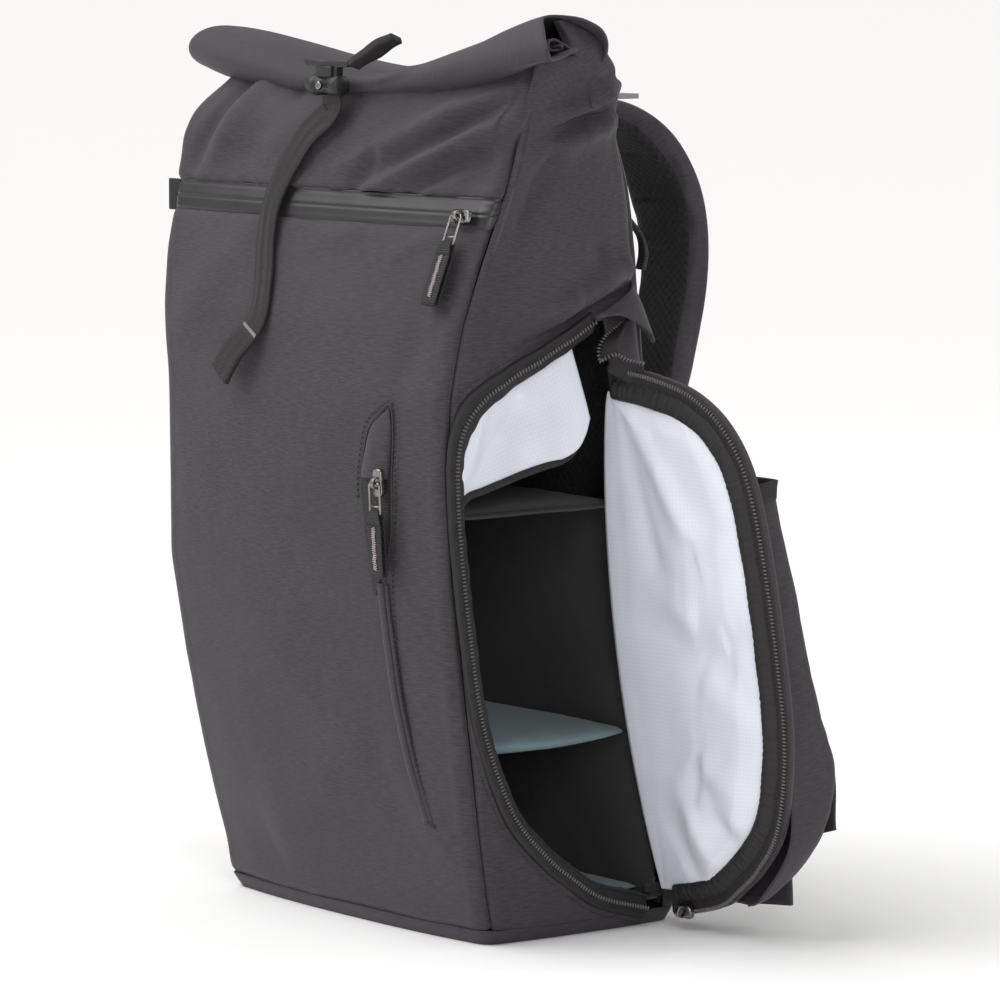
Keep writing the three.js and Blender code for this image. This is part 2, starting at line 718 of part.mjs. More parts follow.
// The door hangs in a plane of its own, which leans forward with the hinge line.
function sideDoor() {
  const door = new THREE.Group();
  const lean = Math.atan(hingeLean);
  door.position.set(halfWidth + doorStandOff, hingeFootY - hingeLean * doorFoot, doorFoot);
  door.rotation.x = lean;
  pack.add(door);
  const outer = doorShape(doorReach, 0, 0);
  const innerEdge = doorTapeWidth + bindingWidth;
  const layerOf = (outline, near, thick) => prismAlongFront(outline, near + thick, thick);
  const whole = layerOf(outer, 0, doorThickness);
  addPiece('door_panel', whole, colours.cloth, door);
  const front = -seamGap;
  const lining = layerOf(doorShape(doorReach, innerEdge, 1), front - liningThickness, liningThickness);
  addPiece('door_lining', lining, colours.lining, door);
  const reach = 2 * doorReach;
  const hinge = block(-reach, hingeStrip, -reach, reach, -reach, packHeight);
  const inside = (inset) => layerOf(doorShape(doorReach, inset, 1), -reach, 2 * reach).add(hinge);
  const bound = doorShape(doorReach, doorTapeWidth + seamGap, 1);
  const binding = layerOf(bound, front - bindingThickness, bindingThickness);
  addPiece('door_binding', binding.subtract(inside(innerEdge - seamGap)), colours.binding, door);
  const tape = layerOf(outer, front - tapeThickness, tapeThickness);
  addPiece('door_zip_tape', tape.subtract(inside(doorTapeWidth)), colours.zip, door);
  addPiece('door_pocket', doorPocket(), colours.cloth, door);
  const parked = new THREE.Group();
  parked.position.set(sliderLength, front - bindingThickness, sliderWidth / 2);
  door.add(parked);
  addPiece(...slider('door_zip_slider', true), parked);
}

// A pouch on the outer face of the door, open at the top.
function doorPocket() {
  const base = doorThickness + seamGap;
  const pouch = (wall) => toSolid(skin(pocketRows.map((row, i) => {
    const rim = i === pocketRows.length - 1 ? 10 : 0;
    const height = row.up * pocketTop + (i === 0 ? wall : 0) + (wall ? rim : 0);
    const from = row.from * doorReach + wall;
    const to = row.to * doorReach - wall;
    const near = base + wall;
    const nearDepth = Math.max(row.nearDepth * doorReach - wall, wall + 1);
    const farDepth = Math.max(row.farDepth * doorReach - wall, wall + 1);
    return [
      [from, near, height],
      [to, near, height],
      [to, base + farDepth * 0.8, height],
      [to - 5, base + farDepth, height],
      [(from + to) / 2, base + (nearDepth + farDepth) / 2, height],
      [from + 8, base + nearDepth, height],
      [from, base + nearDepth * 0.6, height],
    ];
  })));
  return pouch(0).subtract(pouch(pocketWall));
}

// The padded insert follows the inside of the bag and is open towards the door.
function insert() {
  const away = clothWall + insertClearance;
  const room = (inset, low, high) => bagForm(-away - inset, backPadding - clothWall, low, high);
  const outer = room(0, insertFloor, insertTop);
  const inner = room(insertWall, insertFloor + insertWall, insertTop - insertWall);
  const mouth = prismAlongX(openingOutline(-6), packWidth / 4, packWidth);
  addPiece('insert_box', outer.subtract(inner).subtract(mouth), colours.insert);
  const shelfRoom = room(insertWall + seamGap, shelfHeight, shelfHeight + shelfThickness);
  const recess = block(halfWidth - shelfRecess, packWidth, -packWidth, packWidth, -1, packHeight);
  addPiece('insert_shelf', shelfRoom.subtract(recess), colours.divider);
  const floorLow = insertFloor + insertWall + seamGap;
  const padRoom = room(insertWall + seamGap, floorLow, floorLow + padThickness);
  addPiece('insert_floor_pad', padRoom.subtract(recess), colours.divider);
}

// White sheet that closes the upper room from the door's opening.
function upperLining() {
  const inside = clothWall + 2 * seamGap;
  const sheet = bagForm(-inside).subtract(bagForm(-inside - liningThickness));
  const hinge = hingeFootY - hingeLean * insertTop;
  const top = doorFoot + doorHeight;
  const outline = [
    [hinge - openingReach - 6, insertTop + 2 * seamGap],
    [hinge - openingReach / 2, insertTop + 8],
    [hinge - openingReach / 3, insertTop + 30],
    [hinge - openingReach / 4, top + 4],
    [hinge - openingReach - 6, top + 4],
  ];
  const front = frontBlock(seamInset + clothWall);
  const piece = sheet.intersect(prismAlongX(outline, packWidth / 4, packWidth)).subtract(front);
  addPiece('upper_lining', piece, colours.lining);
}

// A slider with an arch that holds a wire pull. It lies in its own group, with its
// back on the tape at Y 0, its front towards -Y and its arch open along X.
function slider(name, lying) {
  const long = lying ? sliderLength : sliderWidth;
  const wide = lying ? sliderWidth : sliderLength;
  const archHole = 2 * pullWire;
  const base = block(-long / 2, long / 2, -sliderHeight, -seamGap, -wide / 2, wide / 2);
  const archReach = archHole / 2 + archWall;
  const archTop = -sliderHeight - archHole;
  const archFoot = -sliderHeight / 2;
  const arch = block(-archWall, archWall, archTop - archWall, archFoot, -archReach, archReach);
  const hole = block(-long, long, archTop, -sliderHeight, -archHole / 2, archHole / 2);
  return [name, base.add(arch).subtract(hole), colours.metal];
}

// A wire loop through the slider's arch, with a folded webbing tag on its lower bar.
// Its origin is the middle of its upper bar, which is also the axis that it turns on.
function wirePull() {
  const shape = new THREE.Shape([
    new THREE.Vector2(-pullWidth / 2, pullWire / 2),
    new THREE.Vector2(-pullWidth / 2, -pullLength),
    new THREE.Vector2(pullWidth / 2, -pullLength),
    new THREE.Vector2(pullWidth / 2, pullWire / 2),
  ]);
  const inside = pullWidth / 2 - pullWire;
  shape.holes.push(new THREE.Path([
    new THREE.Vector2(-inside, -pullWire / 2),
    new THREE.Vector2(inside, -pullWire / 2),
    new THREE.Vector2(inside, -pullLength + pullWire),
    new THREE.Vector2(-inside, -pullLength + pullWire),
  ]));
  const geometry = new THREE.ExtrudeGeometry(shape, { depth: pullWire, bevelEnabled: false });
  geometry.rotateX(Math.PI / 2);
  geometry.translate(0, pullWire / 2, 0);
  return geometry;
}

function pullTag() {
  const neck = pullWidth / 2 - pullWire - seamGap;
  const half = tagThickness / 2;
  const wire = pullWire / 2 + seamGap;
  const barTop = -pullLength + pullWire + seamGap;
  const top = barTop + 1.7;
  const bar = block(-pullWidth, pullWidth, -wire, wire, -pullLength - seamGap, barTop);
  const loop = block(-neck, neck, -half, half, top - tagLoop, top);
  const flat = block(-tagWidth / 2, tagWidth / 2, -half, half, top - tagLength, top - tagLoop + 1);
  return loop.add(flat).subtract(bar);
}

// A slider flat on its tape, with its pull hanging along the front panel below it.
function frontSlider(prefix, x, height, lying, proud) {
  const reach = (lying ? sliderWidth : sliderLength) / 2;
  const aside = (lying ? sliderLength : sliderWidth) / 2;
  const hang = pullLength + tagLength;
  const slope = slopeBetween(x, height - reach, height + reach);
  const seat = Math.min(...[x - aside, x, x + aside].map((place) => frontAt(place, height)));
  const group = new THREE.Group();
  group.position.set(x, seat - proud, height);
  group.rotation.x = slope;
  pack.add(group);
  addPiece(...slider(`${prefix}_slider`, lying), group);
  const pull = new THREE.Group();
  pull.position.set(0, -sliderHeight - pullWire, 0);
  pull.rotation.x = slopeBetween(x, height - hang, height) - slope;
  group.add(pull);
  addPiece(`${prefix}_pull`, wirePull(), colours.metal, pull);
  addPiece(`${prefix}_pull_tag`, pullTag(), colours.webbing, pull);
}

// How the front panel slopes between two heights, as a turn about X.
function slopeBetween(x, low, high) {
  return Math.atan2(frontAt(x, low) - frontAt(x, high), high - low);
}

// A short pull tag that hangs behind the bag's right edge.
function backPull() {
  const high = 0.772 * packHeight;
  const x = 0.94 * halfWidth;
  const foot = backAt(high) + 3 * seamGap;
  const share = backTagLength / 3;
  const narrow = { width: 0.7 * backTagWidth, thick: webbingThickness };
  const wide = { width: backTagWidth, thick: 1.4 * webbingThickness };
  const tag = [
    { at: [x, foot, high], ...narrow },
    { at: [x + 1, foot + 0.8 * share, high - share], ...narrow },
    { at: [x + 2, foot + share, high - 2 * share], ...wide },
    { at: [x + 2, foot + 0.8 * share, high - 3 * share], ...wide },
  ];
  addPiece('back_pull_tag', strip(tag, [1, 0, 0], 6), colours.webbing);
}

function zipHardware() {
  const frontX = 0.87 * halfWidth;
  const frontLow = frontZipHeight + 0.35 * frontZipWidth;
  frontSlider('front_zip', frontX, frontLow, true, tapeThickness / 2);
  const pocketTopRow = pocketZipRows[0];
  const pocketX = 0.641 * halfWidth;
  const pocketHeight = (pocketTopRow.up - 0.067) * packHeight;
  frontSlider('pocket_zip', pocketX, pocketHeight, false, tapeThickness + seamGap);
  const tabLow = frontZipHeight - 3;
  const tabTop = frontZipHeight + frontZipWidth;
  const edge = limitsAt(tabLow);
  const tabX = (edge.left + limitsAt(tabTop).left) / 2 - seamGap / 2;
  const tabY = edge.frontLeft + cornerRadius;
  const half = endTabThickness / 2;
  const tab = block(tabX - endTabWidth, tabX, tabY - half, tabY + half, tabLow, tabTop);
  addPiece('front_zip_end_tab', tab, colours.webbing);
}

function closure() {
  const reach = closureWidth / 2;
  const placeOf = (row) => new THREE.Vector2(
    row.across * halfWidth,
    hookHeight - row.down * closureDrop,
  );
  const rows = closureRows.map((row, i) => {
    const { x, y: height } = placeOf(row);
    const before = placeOf(closureRows[Math.max(i - 1, 0)]);
    const after = placeOf(closureRows[Math.min(i + 1, closureRows.length - 1)]);
    const run = after.sub(before).normalize();
    const leftEdge = frontAt(x - run.y * reach, height + run.x * reach);
    const rightEdge = frontAt(x + run.y * reach, height - run.x * reach);
    const rise = leftEdge - rightEdge;
    const across = [-run.y, rise / 2 / reach, run.x];
    const at = [x, frontAt(x, height) - row.off * closureWidth, height];
    return { at, across, width: closureWidth, thick: closureThickness };
  });
  const barrelTurn = barrelRadius + 2 * seamGap;
  const hookY = frontAt(-barrelLength / 2, hookHeight - barrelRadius) - barrelTurn;
  const topEnd = { ...rows[0], across: [1, 0, 0] };
  rows.unshift({ ...topEnd, at: [rows[0].at[0], hookY, hookHeight - barrelTurn] },
    { ...topEnd, at: [rows[0].at[0], hookY, hookHeight - barrelTurn - 3] });
  addPiece('closure_strap', strip(rows, [1, 0, 0], 24), colours.webbing);
  const barrel = new THREE.CylinderGeometry(barrelRadius, barrelRadius, barrelLength, 12);
  barrel.rotateZ(Math.PI / 2);
  barrel.translate(-barrelLength / 2, hookY, hookHeight);
  const leverLow = hookHeight + 1.7 * barrelRadius;
  const leverTop = leverLow + leverThickness;
  const leverEnd = 0.2 * hookWidth;
  const lever = block(-0.8 * hookWidth, leverEnd, hookY - 3, hookY + 3, leverLow, leverTop);
  const stemLow = hookHeight + barrelRadius / 2;
  const stem = block(-0.55 * hookWidth, -0.05 * hookWidth, hookY - 2, hookY + 4, stemLow, leverLow + 1);
  addPiece('hook_buckle', toSolid(barrel).add(lever).add(stem), colours.plastic);
  const pin = new THREE.CylinderGeometry(pinRadius, pinRadius, pinLength, 12);
  const pinY = hookY - barrelRadius - pinLength / 2 - seamGap;
  pin.translate(-0.3 * hookWidth, pinY, hookHeight);
  addPiece('hook_pin', pin, colours.metal);
  const loopX = leverEnd + 2;
  const wide = { width: loopWidth, thick: loopThickness };
  const loopRows = [
    { at: [loopX, hookY, leverLow + 1], width: 0.85 * loopWidth, thick: 0.8 * loopThickness },
    { at: [loopX + 11, hookY + 6, leverLow + 9], ...wide },
    { at: [loopX + 24, hookY + 14, leverLow + 17], ...wide },
  ];
  addPiece('hook_loop', strip(loopRows, [0.1, 1, 0], 6), colours.webbing);
}

// One side's shoulder strap with its adjuster, webbing and lower wing.
function harness(side) {
  const name = side === right ? 'right' : 'left';
  const place = (row) => [side * row.across * halfWidth, row.behind * packDepth, row.up * packHeight];
  const rows = strapRows.map((row) => ({
    at: place(row), width: row.width * strapWidth, thick: row.thick * strapThickness,
  }));
  rows[0].at[1] = backAt(rows[0].at[2]) + 0.46 * strapThickness;
  addPiece(`shoulder_strap_${name}`, strip(rows, [1, 0, 0], 16, roundedSection), colours.cloth);
  const end = rows[rows.length - 1].at;
  const lock = block(-lockWidth / 2, lockWidth / 2, -lockThickness / 2, lockThickness / 2, -lockLength, 0);
  const slot = (high) => block(-lockWidth / 2 + 3, lockWidth / 2 - 3, -lockThickness, lockThickness,
    high - 4.5, high);
  const group = new THREE.Group();
  group.position.set(end[0] + side * 1.5, end[1], end[2] - lockDrop);
  pack.add(group);
  addPiece(`ladder_lock_${name}`, lock.subtract(slot(-4)).subtract(slot(-15)), colours.plastic, group);
  const low = end[2] - lockDrop - lockLength;
  const wing = wingRows.map((row) => {
    const middle = (row.low + row.high) / 2 * packHeight;
    const at = [side * row.across * halfWidth, row.behind * packDepth, middle];
    return { at, width: (row.high - row.low) * packHeight, thick: wingThickness };
  });
  addPiece(`lower_wing_${name}`, strip(wing, [0, 0, 1], 8), colours.cloth);
  const tip = wing[wing.length - 1].at;
  const behind = tip[1] + wingThickness / 2 + webbingThickness;
  const band = { width: webbingWidth, thick: webbingThickness };
  const webbing = [
    { at: [end[0] + side * 2, end[1], low - 3], ...band },
    { at: [end[0] + side * 14, end[1] + 4, low - 45], ...band },
    { at: [tip[0] - side * 45, behind + 2, tip[2] + 65], ...band },
    { at: [tip[0] - side * 12, behind, tip[2] + 4], ...band },
  ];
  addPiece(`strap_webbing_${name}`, strip(webbing, [0.9, 0, 0.45 * side], 10), colours.webbing);
  const tailAt = (x, y, z) => ({ at: [side * x, y, z], width: webbingWidth, thick: 1.6 * webbingThickness });
  const tail = [
    tailAt(Math.abs(end[0]) + 2, end[1] + lockThickness / 2 + webbingThickness + seamGap, low + 5),
    tailAt(Math.abs(end[0]) + 50, end[1] + 24, low - 70),
    tailAt(Math.abs(tip[0]) + 2, behind + 13, tip[2] + 58),
    tailAt(Math.abs(tip[0]) + 16, behind + 8, tip[2] + 12),
  ];
  addPiece(`strap_tail_${name}`, strip(tail, [1, 0, 0.3 * side], 9), colours.webbing);
  const plateAt = place(strapRows[1]);
  const plateLow = plateAt[2] + rows[1].thick / 2 - 0.5;
  const plateDepth = 0.9 * plateWidth;
  const plate = block(-plateWidth / 2, plateWidth / 2, -plateDepth / 2, plateDepth / 2, 0, plateThickness);
  const mount = new THREE.Group();
  const plateX = plateAt[0] + side * 8;
  const plateY = plateAt[1] + 14;
  mount.position.set(plateX, plateY, plateLow);
  pack.add(mount);
  addPiece(`lifter_plate_${name}`, plate, colours.plastic, mount);
  const narrow = { width: lifterWidth, thick: webbingThickness };
  const lift = [
    { at: [plateX, plateY - plateDepth / 2 - 2 * seamGap, plateLow + plateThickness / 2], ...narrow },
    { at: [plateX, plateAt[1] - 14, plateLow + 1], ...narrow },
    { at: [plateX, backAt(plateAt[2] + 4) + 2 * seamGap, plateAt[2] + 4], ...narrow },
  ];
  addPiece(`load_lifter_${name}`, strip(lift, [1, 0, 0], 6), colours.webbing);
}

bodyPanels();
frontZip();
pocketZip();
openingZip();
sideDoor();
insert();
upperLining();
zipHardware();
backPull();
closure();
harness(right);
harness(left);

export default pack;
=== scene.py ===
# A camera backpack with a rolled top, standing on its base with its side door open.
import math

import bmesh
import bpy
import numpy as np
from mathutils import Matrix, Vector, noise


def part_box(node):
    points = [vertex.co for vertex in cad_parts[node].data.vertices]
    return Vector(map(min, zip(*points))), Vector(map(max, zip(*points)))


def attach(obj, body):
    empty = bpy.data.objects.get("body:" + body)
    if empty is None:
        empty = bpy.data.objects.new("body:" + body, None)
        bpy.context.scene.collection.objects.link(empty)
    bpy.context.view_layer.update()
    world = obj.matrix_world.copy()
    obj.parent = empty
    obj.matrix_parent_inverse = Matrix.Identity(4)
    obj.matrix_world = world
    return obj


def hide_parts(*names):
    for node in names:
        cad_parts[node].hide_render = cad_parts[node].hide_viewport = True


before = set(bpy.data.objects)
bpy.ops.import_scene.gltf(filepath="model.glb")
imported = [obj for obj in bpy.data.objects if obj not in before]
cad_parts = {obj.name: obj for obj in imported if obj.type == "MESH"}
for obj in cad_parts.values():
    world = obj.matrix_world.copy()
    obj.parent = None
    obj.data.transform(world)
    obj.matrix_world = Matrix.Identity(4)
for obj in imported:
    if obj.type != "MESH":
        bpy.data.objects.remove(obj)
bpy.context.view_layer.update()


# Camera and studio.
# The camera stands in front and to the right, a little above the middle of the bag,
# with a long lens. The floor is one pale sheet, and the light comes from soft boxes.
camera_place = Vector((2.67604, -2.02570, 0.61802))
camera_look = Vector((-0.7874, 0.6065, -0.1102))
camera = bpy.data.objects.new("camera", bpy.data.cameras.new("camera"))
camera.data.lens = 201.6
camera.data.sensor_width = 36
camera.data.clip_end = 200
camera.location = camera_place
camera.rotation_euler = camera_look.to_track_quat("-Z", "Y").to_euler()
bpy.context.collection.objects.link(camera)
bpy.context.scene.camera = camera

floor_half = 30.0
floor_mesh = bpy.data.meshes.new("floor")
floor_mesh.from_pydata(
    [(-floor_half, -floor_half, 0), (floor_half, -floor_half, 0),
     (floor_half, floor_half, 0), (-floor_half, floor_half, 0)],
    [], [(0, 1, 2, 3)])
floor = bpy.data.objects.new("floor", floor_mesh)
bpy.context.collection.objects.link(floor)


class Recipe:
    """A material under construction, with short calls for its nodes."""

    def __init__(self, name, tree=None):
        if tree is None:
            self.material = bpy.data.materials.new(name)
            self.material.use_nodes = True
            tree = self.material.node_tree
            self.shader = tree.nodes["Principled BSDF"]
        self.tree = tree

    def node(self, kind, settings=None, **inputs):
        made = self.tree.nodes.new(kind)
        for key, value in (settings or {}).items():
            setattr(made, key, value)
        for key, value in inputs.items():
            self.feed(made, key, value)
        return made

    def feed(self, node, key, value):
        if isinstance(key, str) and key.startswith("i") and key[1:].isdigit():
            key = int(key[1:])
        socket = node.inputs[key]
        if isinstance(value, bpy.types.NodeSocket):
            self.tree.links.new(value, socket)
        else:
            socket.default_value = value

    def maths(self, operation, first, second=0.0, third=0.0):
        made = self.node("ShaderNodeMath", {"operation": operation}, i0=first, i1=second, i2=third)
        return made.outputs[0]

    def spread(self, value, low, high, to_low=0.0, to_high=1.0):
        made = self.node("ShaderNodeMapRange", None, Value=value)
        made.inputs["From Min"].default_value = low
        made.inputs["From Max"].default_value = high
        made.inputs["To Min"].default_value = to_low
        made.inputs["To Max"].default_value = to_high
        return made.outputs[0]

    def blend(self, amount, first, second):
        made = self.node("ShaderNodeMix", {"data_type": "RGBA"}, i0=amount, i6=first, i7=second)
        return made.outputs[2]

    def surface(self, color=None, roughness=None, height=None, strength=0.5, distance=0.0004, **plain):
        if color is not None:
            self.feed(self.shader, "Base Color", color)
        if roughness is not None:
            self.feed(self.shader, "Roughness", roughness)
        for key, value in plain.items():
            self.feed(self.shader, key.replace("_", " "), value)
        if height is not None:
            bump = self.node("ShaderNodeBump", None, Height=height, Strength=strength, Distance=distance)
            self.feed(self.shader, "Normal", bump.outputs[0])
        return self.material


def group(name, inputs, outputs):
    """An empty shader node group with float, vector or colour sockets."""
    kinds = {"float": "NodeSocketFloat", "vector": "NodeSocketVector", "color": "NodeSocketColor"}
    tree = bpy.data.node_groups.new(name, "ShaderNodeTree")
    for socket, kind, value in inputs:
        made = tree.interface.new_socket(socket, in_out="INPUT", socket_type=kinds[kind])
        if value is not None:
            made.default_value = value
    for socket, kind in outputs:
        tree.interface.new_socket(socket, in_out="OUTPUT", socket_type=kinds[kind])
    recipe = Recipe(name, tree)
    start = recipe.node("NodeGroupInput")
    end = recipe.node("NodeGroupOutput")
    return recipe, start, end


pale = Recipe("studio_floor")
floor.data.materials.append(pale.surface((0.96, 0.956, 0.95, 1), 0.6))

world = bpy.data.worlds.new("studio")
world.use_nodes = True
air = Recipe("studio", world.node_tree)
soft_air = world.node_tree.nodes["Background"]
soft_air.inputs[0].default_value = (1.0, 0.99, 0.985, 1)
soft_air.inputs[1].default_value = 0.42
backdrop = air.node("ShaderNodeBackground", None, Color=(1.0, 1.0, 1.0, 1), Strength=1.0)
seen = air.node("ShaderNodeLightPath")
mixed = air.node("ShaderNodeMixShader", None, i0=seen.outputs["Is Camera Ray"], i1=soft_air.outputs[0],
                 i2=backdrop.outputs[0])
air.feed(world.node_tree.nodes["World Output"], "Surface", mixed.outputs[0])
bpy.context.scene.world = world
bpy.context.scene.view_settings.view_transform = "Standard"

sky = bpy.data.lights.new("sky_panel", "SUN")
sky.energy, sky.angle = 2.42, math.radians(65)
sky_holder = bpy.data.objects.new("sky_panel", sky)
sky_holder.rotation_euler = Vector((0.42, 0.62, -1.15)).to_track_quat("-Z", "Y").to_euler()
bpy.context.collection.objects.link(sky_holder)

soft_boxes = [
    # name, place, aim, width, height, watts
    ("key", (-2.0, -2.6, 1.9), (0, 0, 0.3), 1.2, 1.6, 12),
    ("side", (3.0, -1.6, 1.3), (0.1, 0, 0.25), 0.9, 1.8, 38),
    ("rim", (1.2, 2.6, 1.7), (0, 0, 0.3), 1.2, 1.2, 16),
]
for name, place, aim, wide, tall, watts in soft_boxes:
    lamp = bpy.data.lights.new(name, "AREA")
    lamp.shape = "RECTANGLE"
    lamp.size, lamp.size_y, lamp.energy = wide, tall, watts
    holder = bpy.data.objects.new(name, lamp)
    holder.location = place
    holder.rotation_euler = (Vector(aim) - Vector(place)).to_track_quat("-Z", "Y").to_euler()
    bpy.context.collection.objects.link(holder)


# Bag cloth.
# The bag is sewn from coarse coated nylon: one front panel below the zip, one above
# it, two sides and a padded back. The panels meet in turned seams at the corners.
pack_width, pack_depth, pack_height = 276.0, 150.0, 545.0
corner_radius, front_crown, side_crown = 12.0, 6.0, 2.5
seam_inset, seam_gap, back_padding = 7.0, 0.3, 12.0
base_height = 9.0
cloth_thick = 1.3
zip_height, zip_width = 419.0, 17.0
body_rows = np.array([
    # up, left, right, front left, front right, back
    (0, 0.92, 0.891, -0.46, -0.46, 0.447),
    (0.0055, 0.949, 0.92, -0.49, -0.49, 0.473),
    (0.0165, 0.967, 0.938, -0.51, -0.51, 0.483),
    (0.057, 0.971, 0.953, -0.533, -0.547, 0.473),
    (0.11, 0.993, 0.967, -0.58, -0.587, 0.453),
    (0.165, 1.01, 0.978, -0.62, -0.62, 0.43),
    (0.273, 1.02, 0.993, -0.693, -0.68, 0.387),
    (0.382, 1.04, 1, -0.747, -0.727, 0.34),
    (0.508, 1.04, 1, -0.753, -0.757, 0.293),
    (0.593, 1.05, 1, -0.753, -0.753, 0.26),
    (0.666, 1.1, 1, -0.74, -0.693, 0.233),
    (0.725, 1.15, 1, -0.693, -0.613, 0.213),
    (0.758, 1.16, 1, -0.66, -0.563, 0.2),
    (0.789, 1.17, 1, -0.626, -0.517, 0.187),
    (0.82, 1.19, 1.007, -0.6, -0.473, 0.173),
    (0.848, 1.2, 1.014, -0.58, -0.447, 0.16),
    (0.881, 1.18, 1.043, -0.54, -0.433, 0.133),
    (0.912, 1.11, 1.08, -0.45, -0.42, 0.1),
    (0.94, 1.08, 1.1, -0.42, -0.4, 0.075),
])
roll_length, roll_tall, roll_deep, roll_cloth, roll_middle = 362.0, 44.0, 68.0, 1.7, -35.0
roll_rows = np.array([
    # along, middle, tall, deep
    (-1.06, 0.946, 0.6, 0.68),
    (-0.96, 0.941, 0.72, 0.84),
    (-0.7, 0.93, 0.74, 0.95),
    (-0.35, 0.916, 0.66, 0.97),
    (-0.08, 0.911, 0.5, 0.95),
    (0.12, 0.912, 0.5, 0.95),
    (0.4, 0.927, 0.72, 0.98),
    (0.7, 0.945, 0.88, 1),
    (0.95, 0.958, 0.94, 0.92),
])


def eased(places, rows, whole, blur):
    """Values of a table column at places, rounded off between the rows."""
    fine = np.arange(rows[0, 0] - 0.2, rows[-1, 0] + 0.2, 0.004)
    raw = np.interp(fine, rows[:, 0], rows[:, 1]) * whole
    reach = int(blur / 0.004)
    kernel = np.hanning(2 * reach + 3)[1:-1]
    soft = np.convolve(np.pad(raw, reach, "edge"), kernel / kernel.sum(), "valid")
    return np.interp(places, fine, soft)


def limits(height):
    """Left, right, front left, front right and back of the bag at heights in mm."""
    up = np.asarray(height, float) / pack_height
    wholes = (-pack_width / 2, pack_width / 2, pack_depth, pack_depth, pack_depth)
    return [eased(up, body_rows[:, (0, k + 1)], whole, 0.02) for k, whole in enumerate(wholes)]


def face_or_corner(height, kind, side, share, grow=0.0):
    """A place on the bag's outline at each height: on a face, or on the corner after it."""
    left, right, front_left, front_right, back = limits(height)
    corners = [
        np.stack([left - grow, front_left - grow], -1),
        np.stack([right + grow, front_right - grow], -1),
        np.stack([right + grow, back + grow], -1),
        np.stack([left - grow, back + grow], -1),
    ]
    outward = np.array([(0, -1), (1, 0), (0, 1), (-1, 0)], float)[side]
    here, there, after = corners[side], corners[(side + 1) % 4], corners[(side + 2) % 4]
    run = there - here
    run /= np.linalg.norm(run, axis=-1, keepdims=True)
    turn = after - there
    turn /= np.linalg.norm(turn, axis=-1, keepdims=True)
    radius = corner_radius + grow
    if kind == "face":
        swell = (front_crown, side_crown, 0.0, side_crown)[side]
        bulge = swell * (1 - abs(2 * share - 1) ** 2.5)
        return here + run * radius + (there - here - 2 * run * radius) * share + outward * bulge
    start, end = there - run * radius, there + turn * radius
    return (1 - share) ** 2 * start + 2 * share * (1 - share) * there + share ** 2 * end


def outline_grid(heights, stops, grow=0.0):
    """Rows of places round the bag: stops are (kind, side, from, to, count)."""
    columns = []
    for kind, side, low, high, count in stops:
        for share in np.linspace(low, high, count):
            flat = face_or_corner(heights, kind, side, share, grow)
            columns.append(np.column_stack([flat, heights]))
    return np.stack(columns, 1)


def front_y(x, height, grow=0.0):
    """Where the front cloth lies, for single places."""
    left, right, front_left, front_right, _ = (float(v) for v in limits(height))
    share = (x - left) / (right - left)
    inner = (x - left - corner_radius) / (right - left - 2 * corner_radius)
    swell = front_crown * (1 - min(1.0, abs(2 * inner - 1)) ** 2.5)
    return front_left + share * (front_right - front_left) - swell - grow


def right_x(y, height, grow=0.0):
    """Where the right side's cloth lies."""
    _, right, _, front_right, back = (float(v) for v in limits(height))
    inner = (y - front_right - corner_radius) / (back - front_right - 2 * corner_radius)
    return right + side_crown * (1 - min(1.0, abs(2 * inner - 1)) ** 2.5) + grow


def normals_of(grid):
    across = np.gradient(grid, axis=1)
    along = np.gradient(grid, axis=0)
    normal = np.cross(across, along)
    return normal / np.maximum(np.linalg.norm(normal, axis=-1, keepdims=True), 1e-9)


def ripple(grid, scale, depth, stretch=(1, 1, 1), seed=0.0, octaves=3):
    """Soft unevenness of cloth: how far each place stands out, in mm."""
    out = np.zeros(grid.shape[:2])
    for i in range(grid.shape[0]):
        for j in range(grid.shape[1]):
            p = grid[i, j]
            spot = Vector((p[0] * stretch[0] / scale + seed, p[1] * stretch[1] / scale,
                           p[2] * stretch[2] / scale))
            out[i, j] = noise.fractal(spot, 1.0, 2.1, octaves)
    return out * depth


def ridge(a, b, start, end, depth, width, sharp=1.0, tail=0.5):
    """A fold from start to end over flat places a, b. A positive depth stands out."""
    start, end = np.array(start, float), np.array(end, float)
    line = end - start
    length = np.linalg.norm(line)
    line /= length
    along = ((a - start[0]) * line[0] + (b - start[1]) * line[1]) / length
    aside = (a - start[0]) * line[1] - (b - start[1]) * line[0]
    fade = np.clip(along / tail, 0, 1) * np.clip((1.04 - along) / 0.12, 0, 1)
    fade = np.sin(fade * math.pi / 2)
    shape = np.exp(-np.abs(aside / width) ** (2 * sharp))
    return depth * fade * shape


def turned_edges(count_rows, count_columns, columns=True, depth=1.6, reach=2.2, step=3.0):
    """How far cloth dips towards its sewn edges, in mm."""
    spots = np.arange(count_columns if columns else count_rows)
    away = np.minimum(spots, spots[::-1]) * step
    dip = -depth * np.exp(-(away / reach) ** 2)
    return dip[None, :] if columns else dip[:, None]


def finish(obj, material, body="pack", smooth=True):
    if material is not None:
        obj.data.materials.clear()
        obj.data.materials.append(material)
    for polygon in obj.data.polygons:
        polygon.use_smooth = smooth
    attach(obj, body)
    return obj


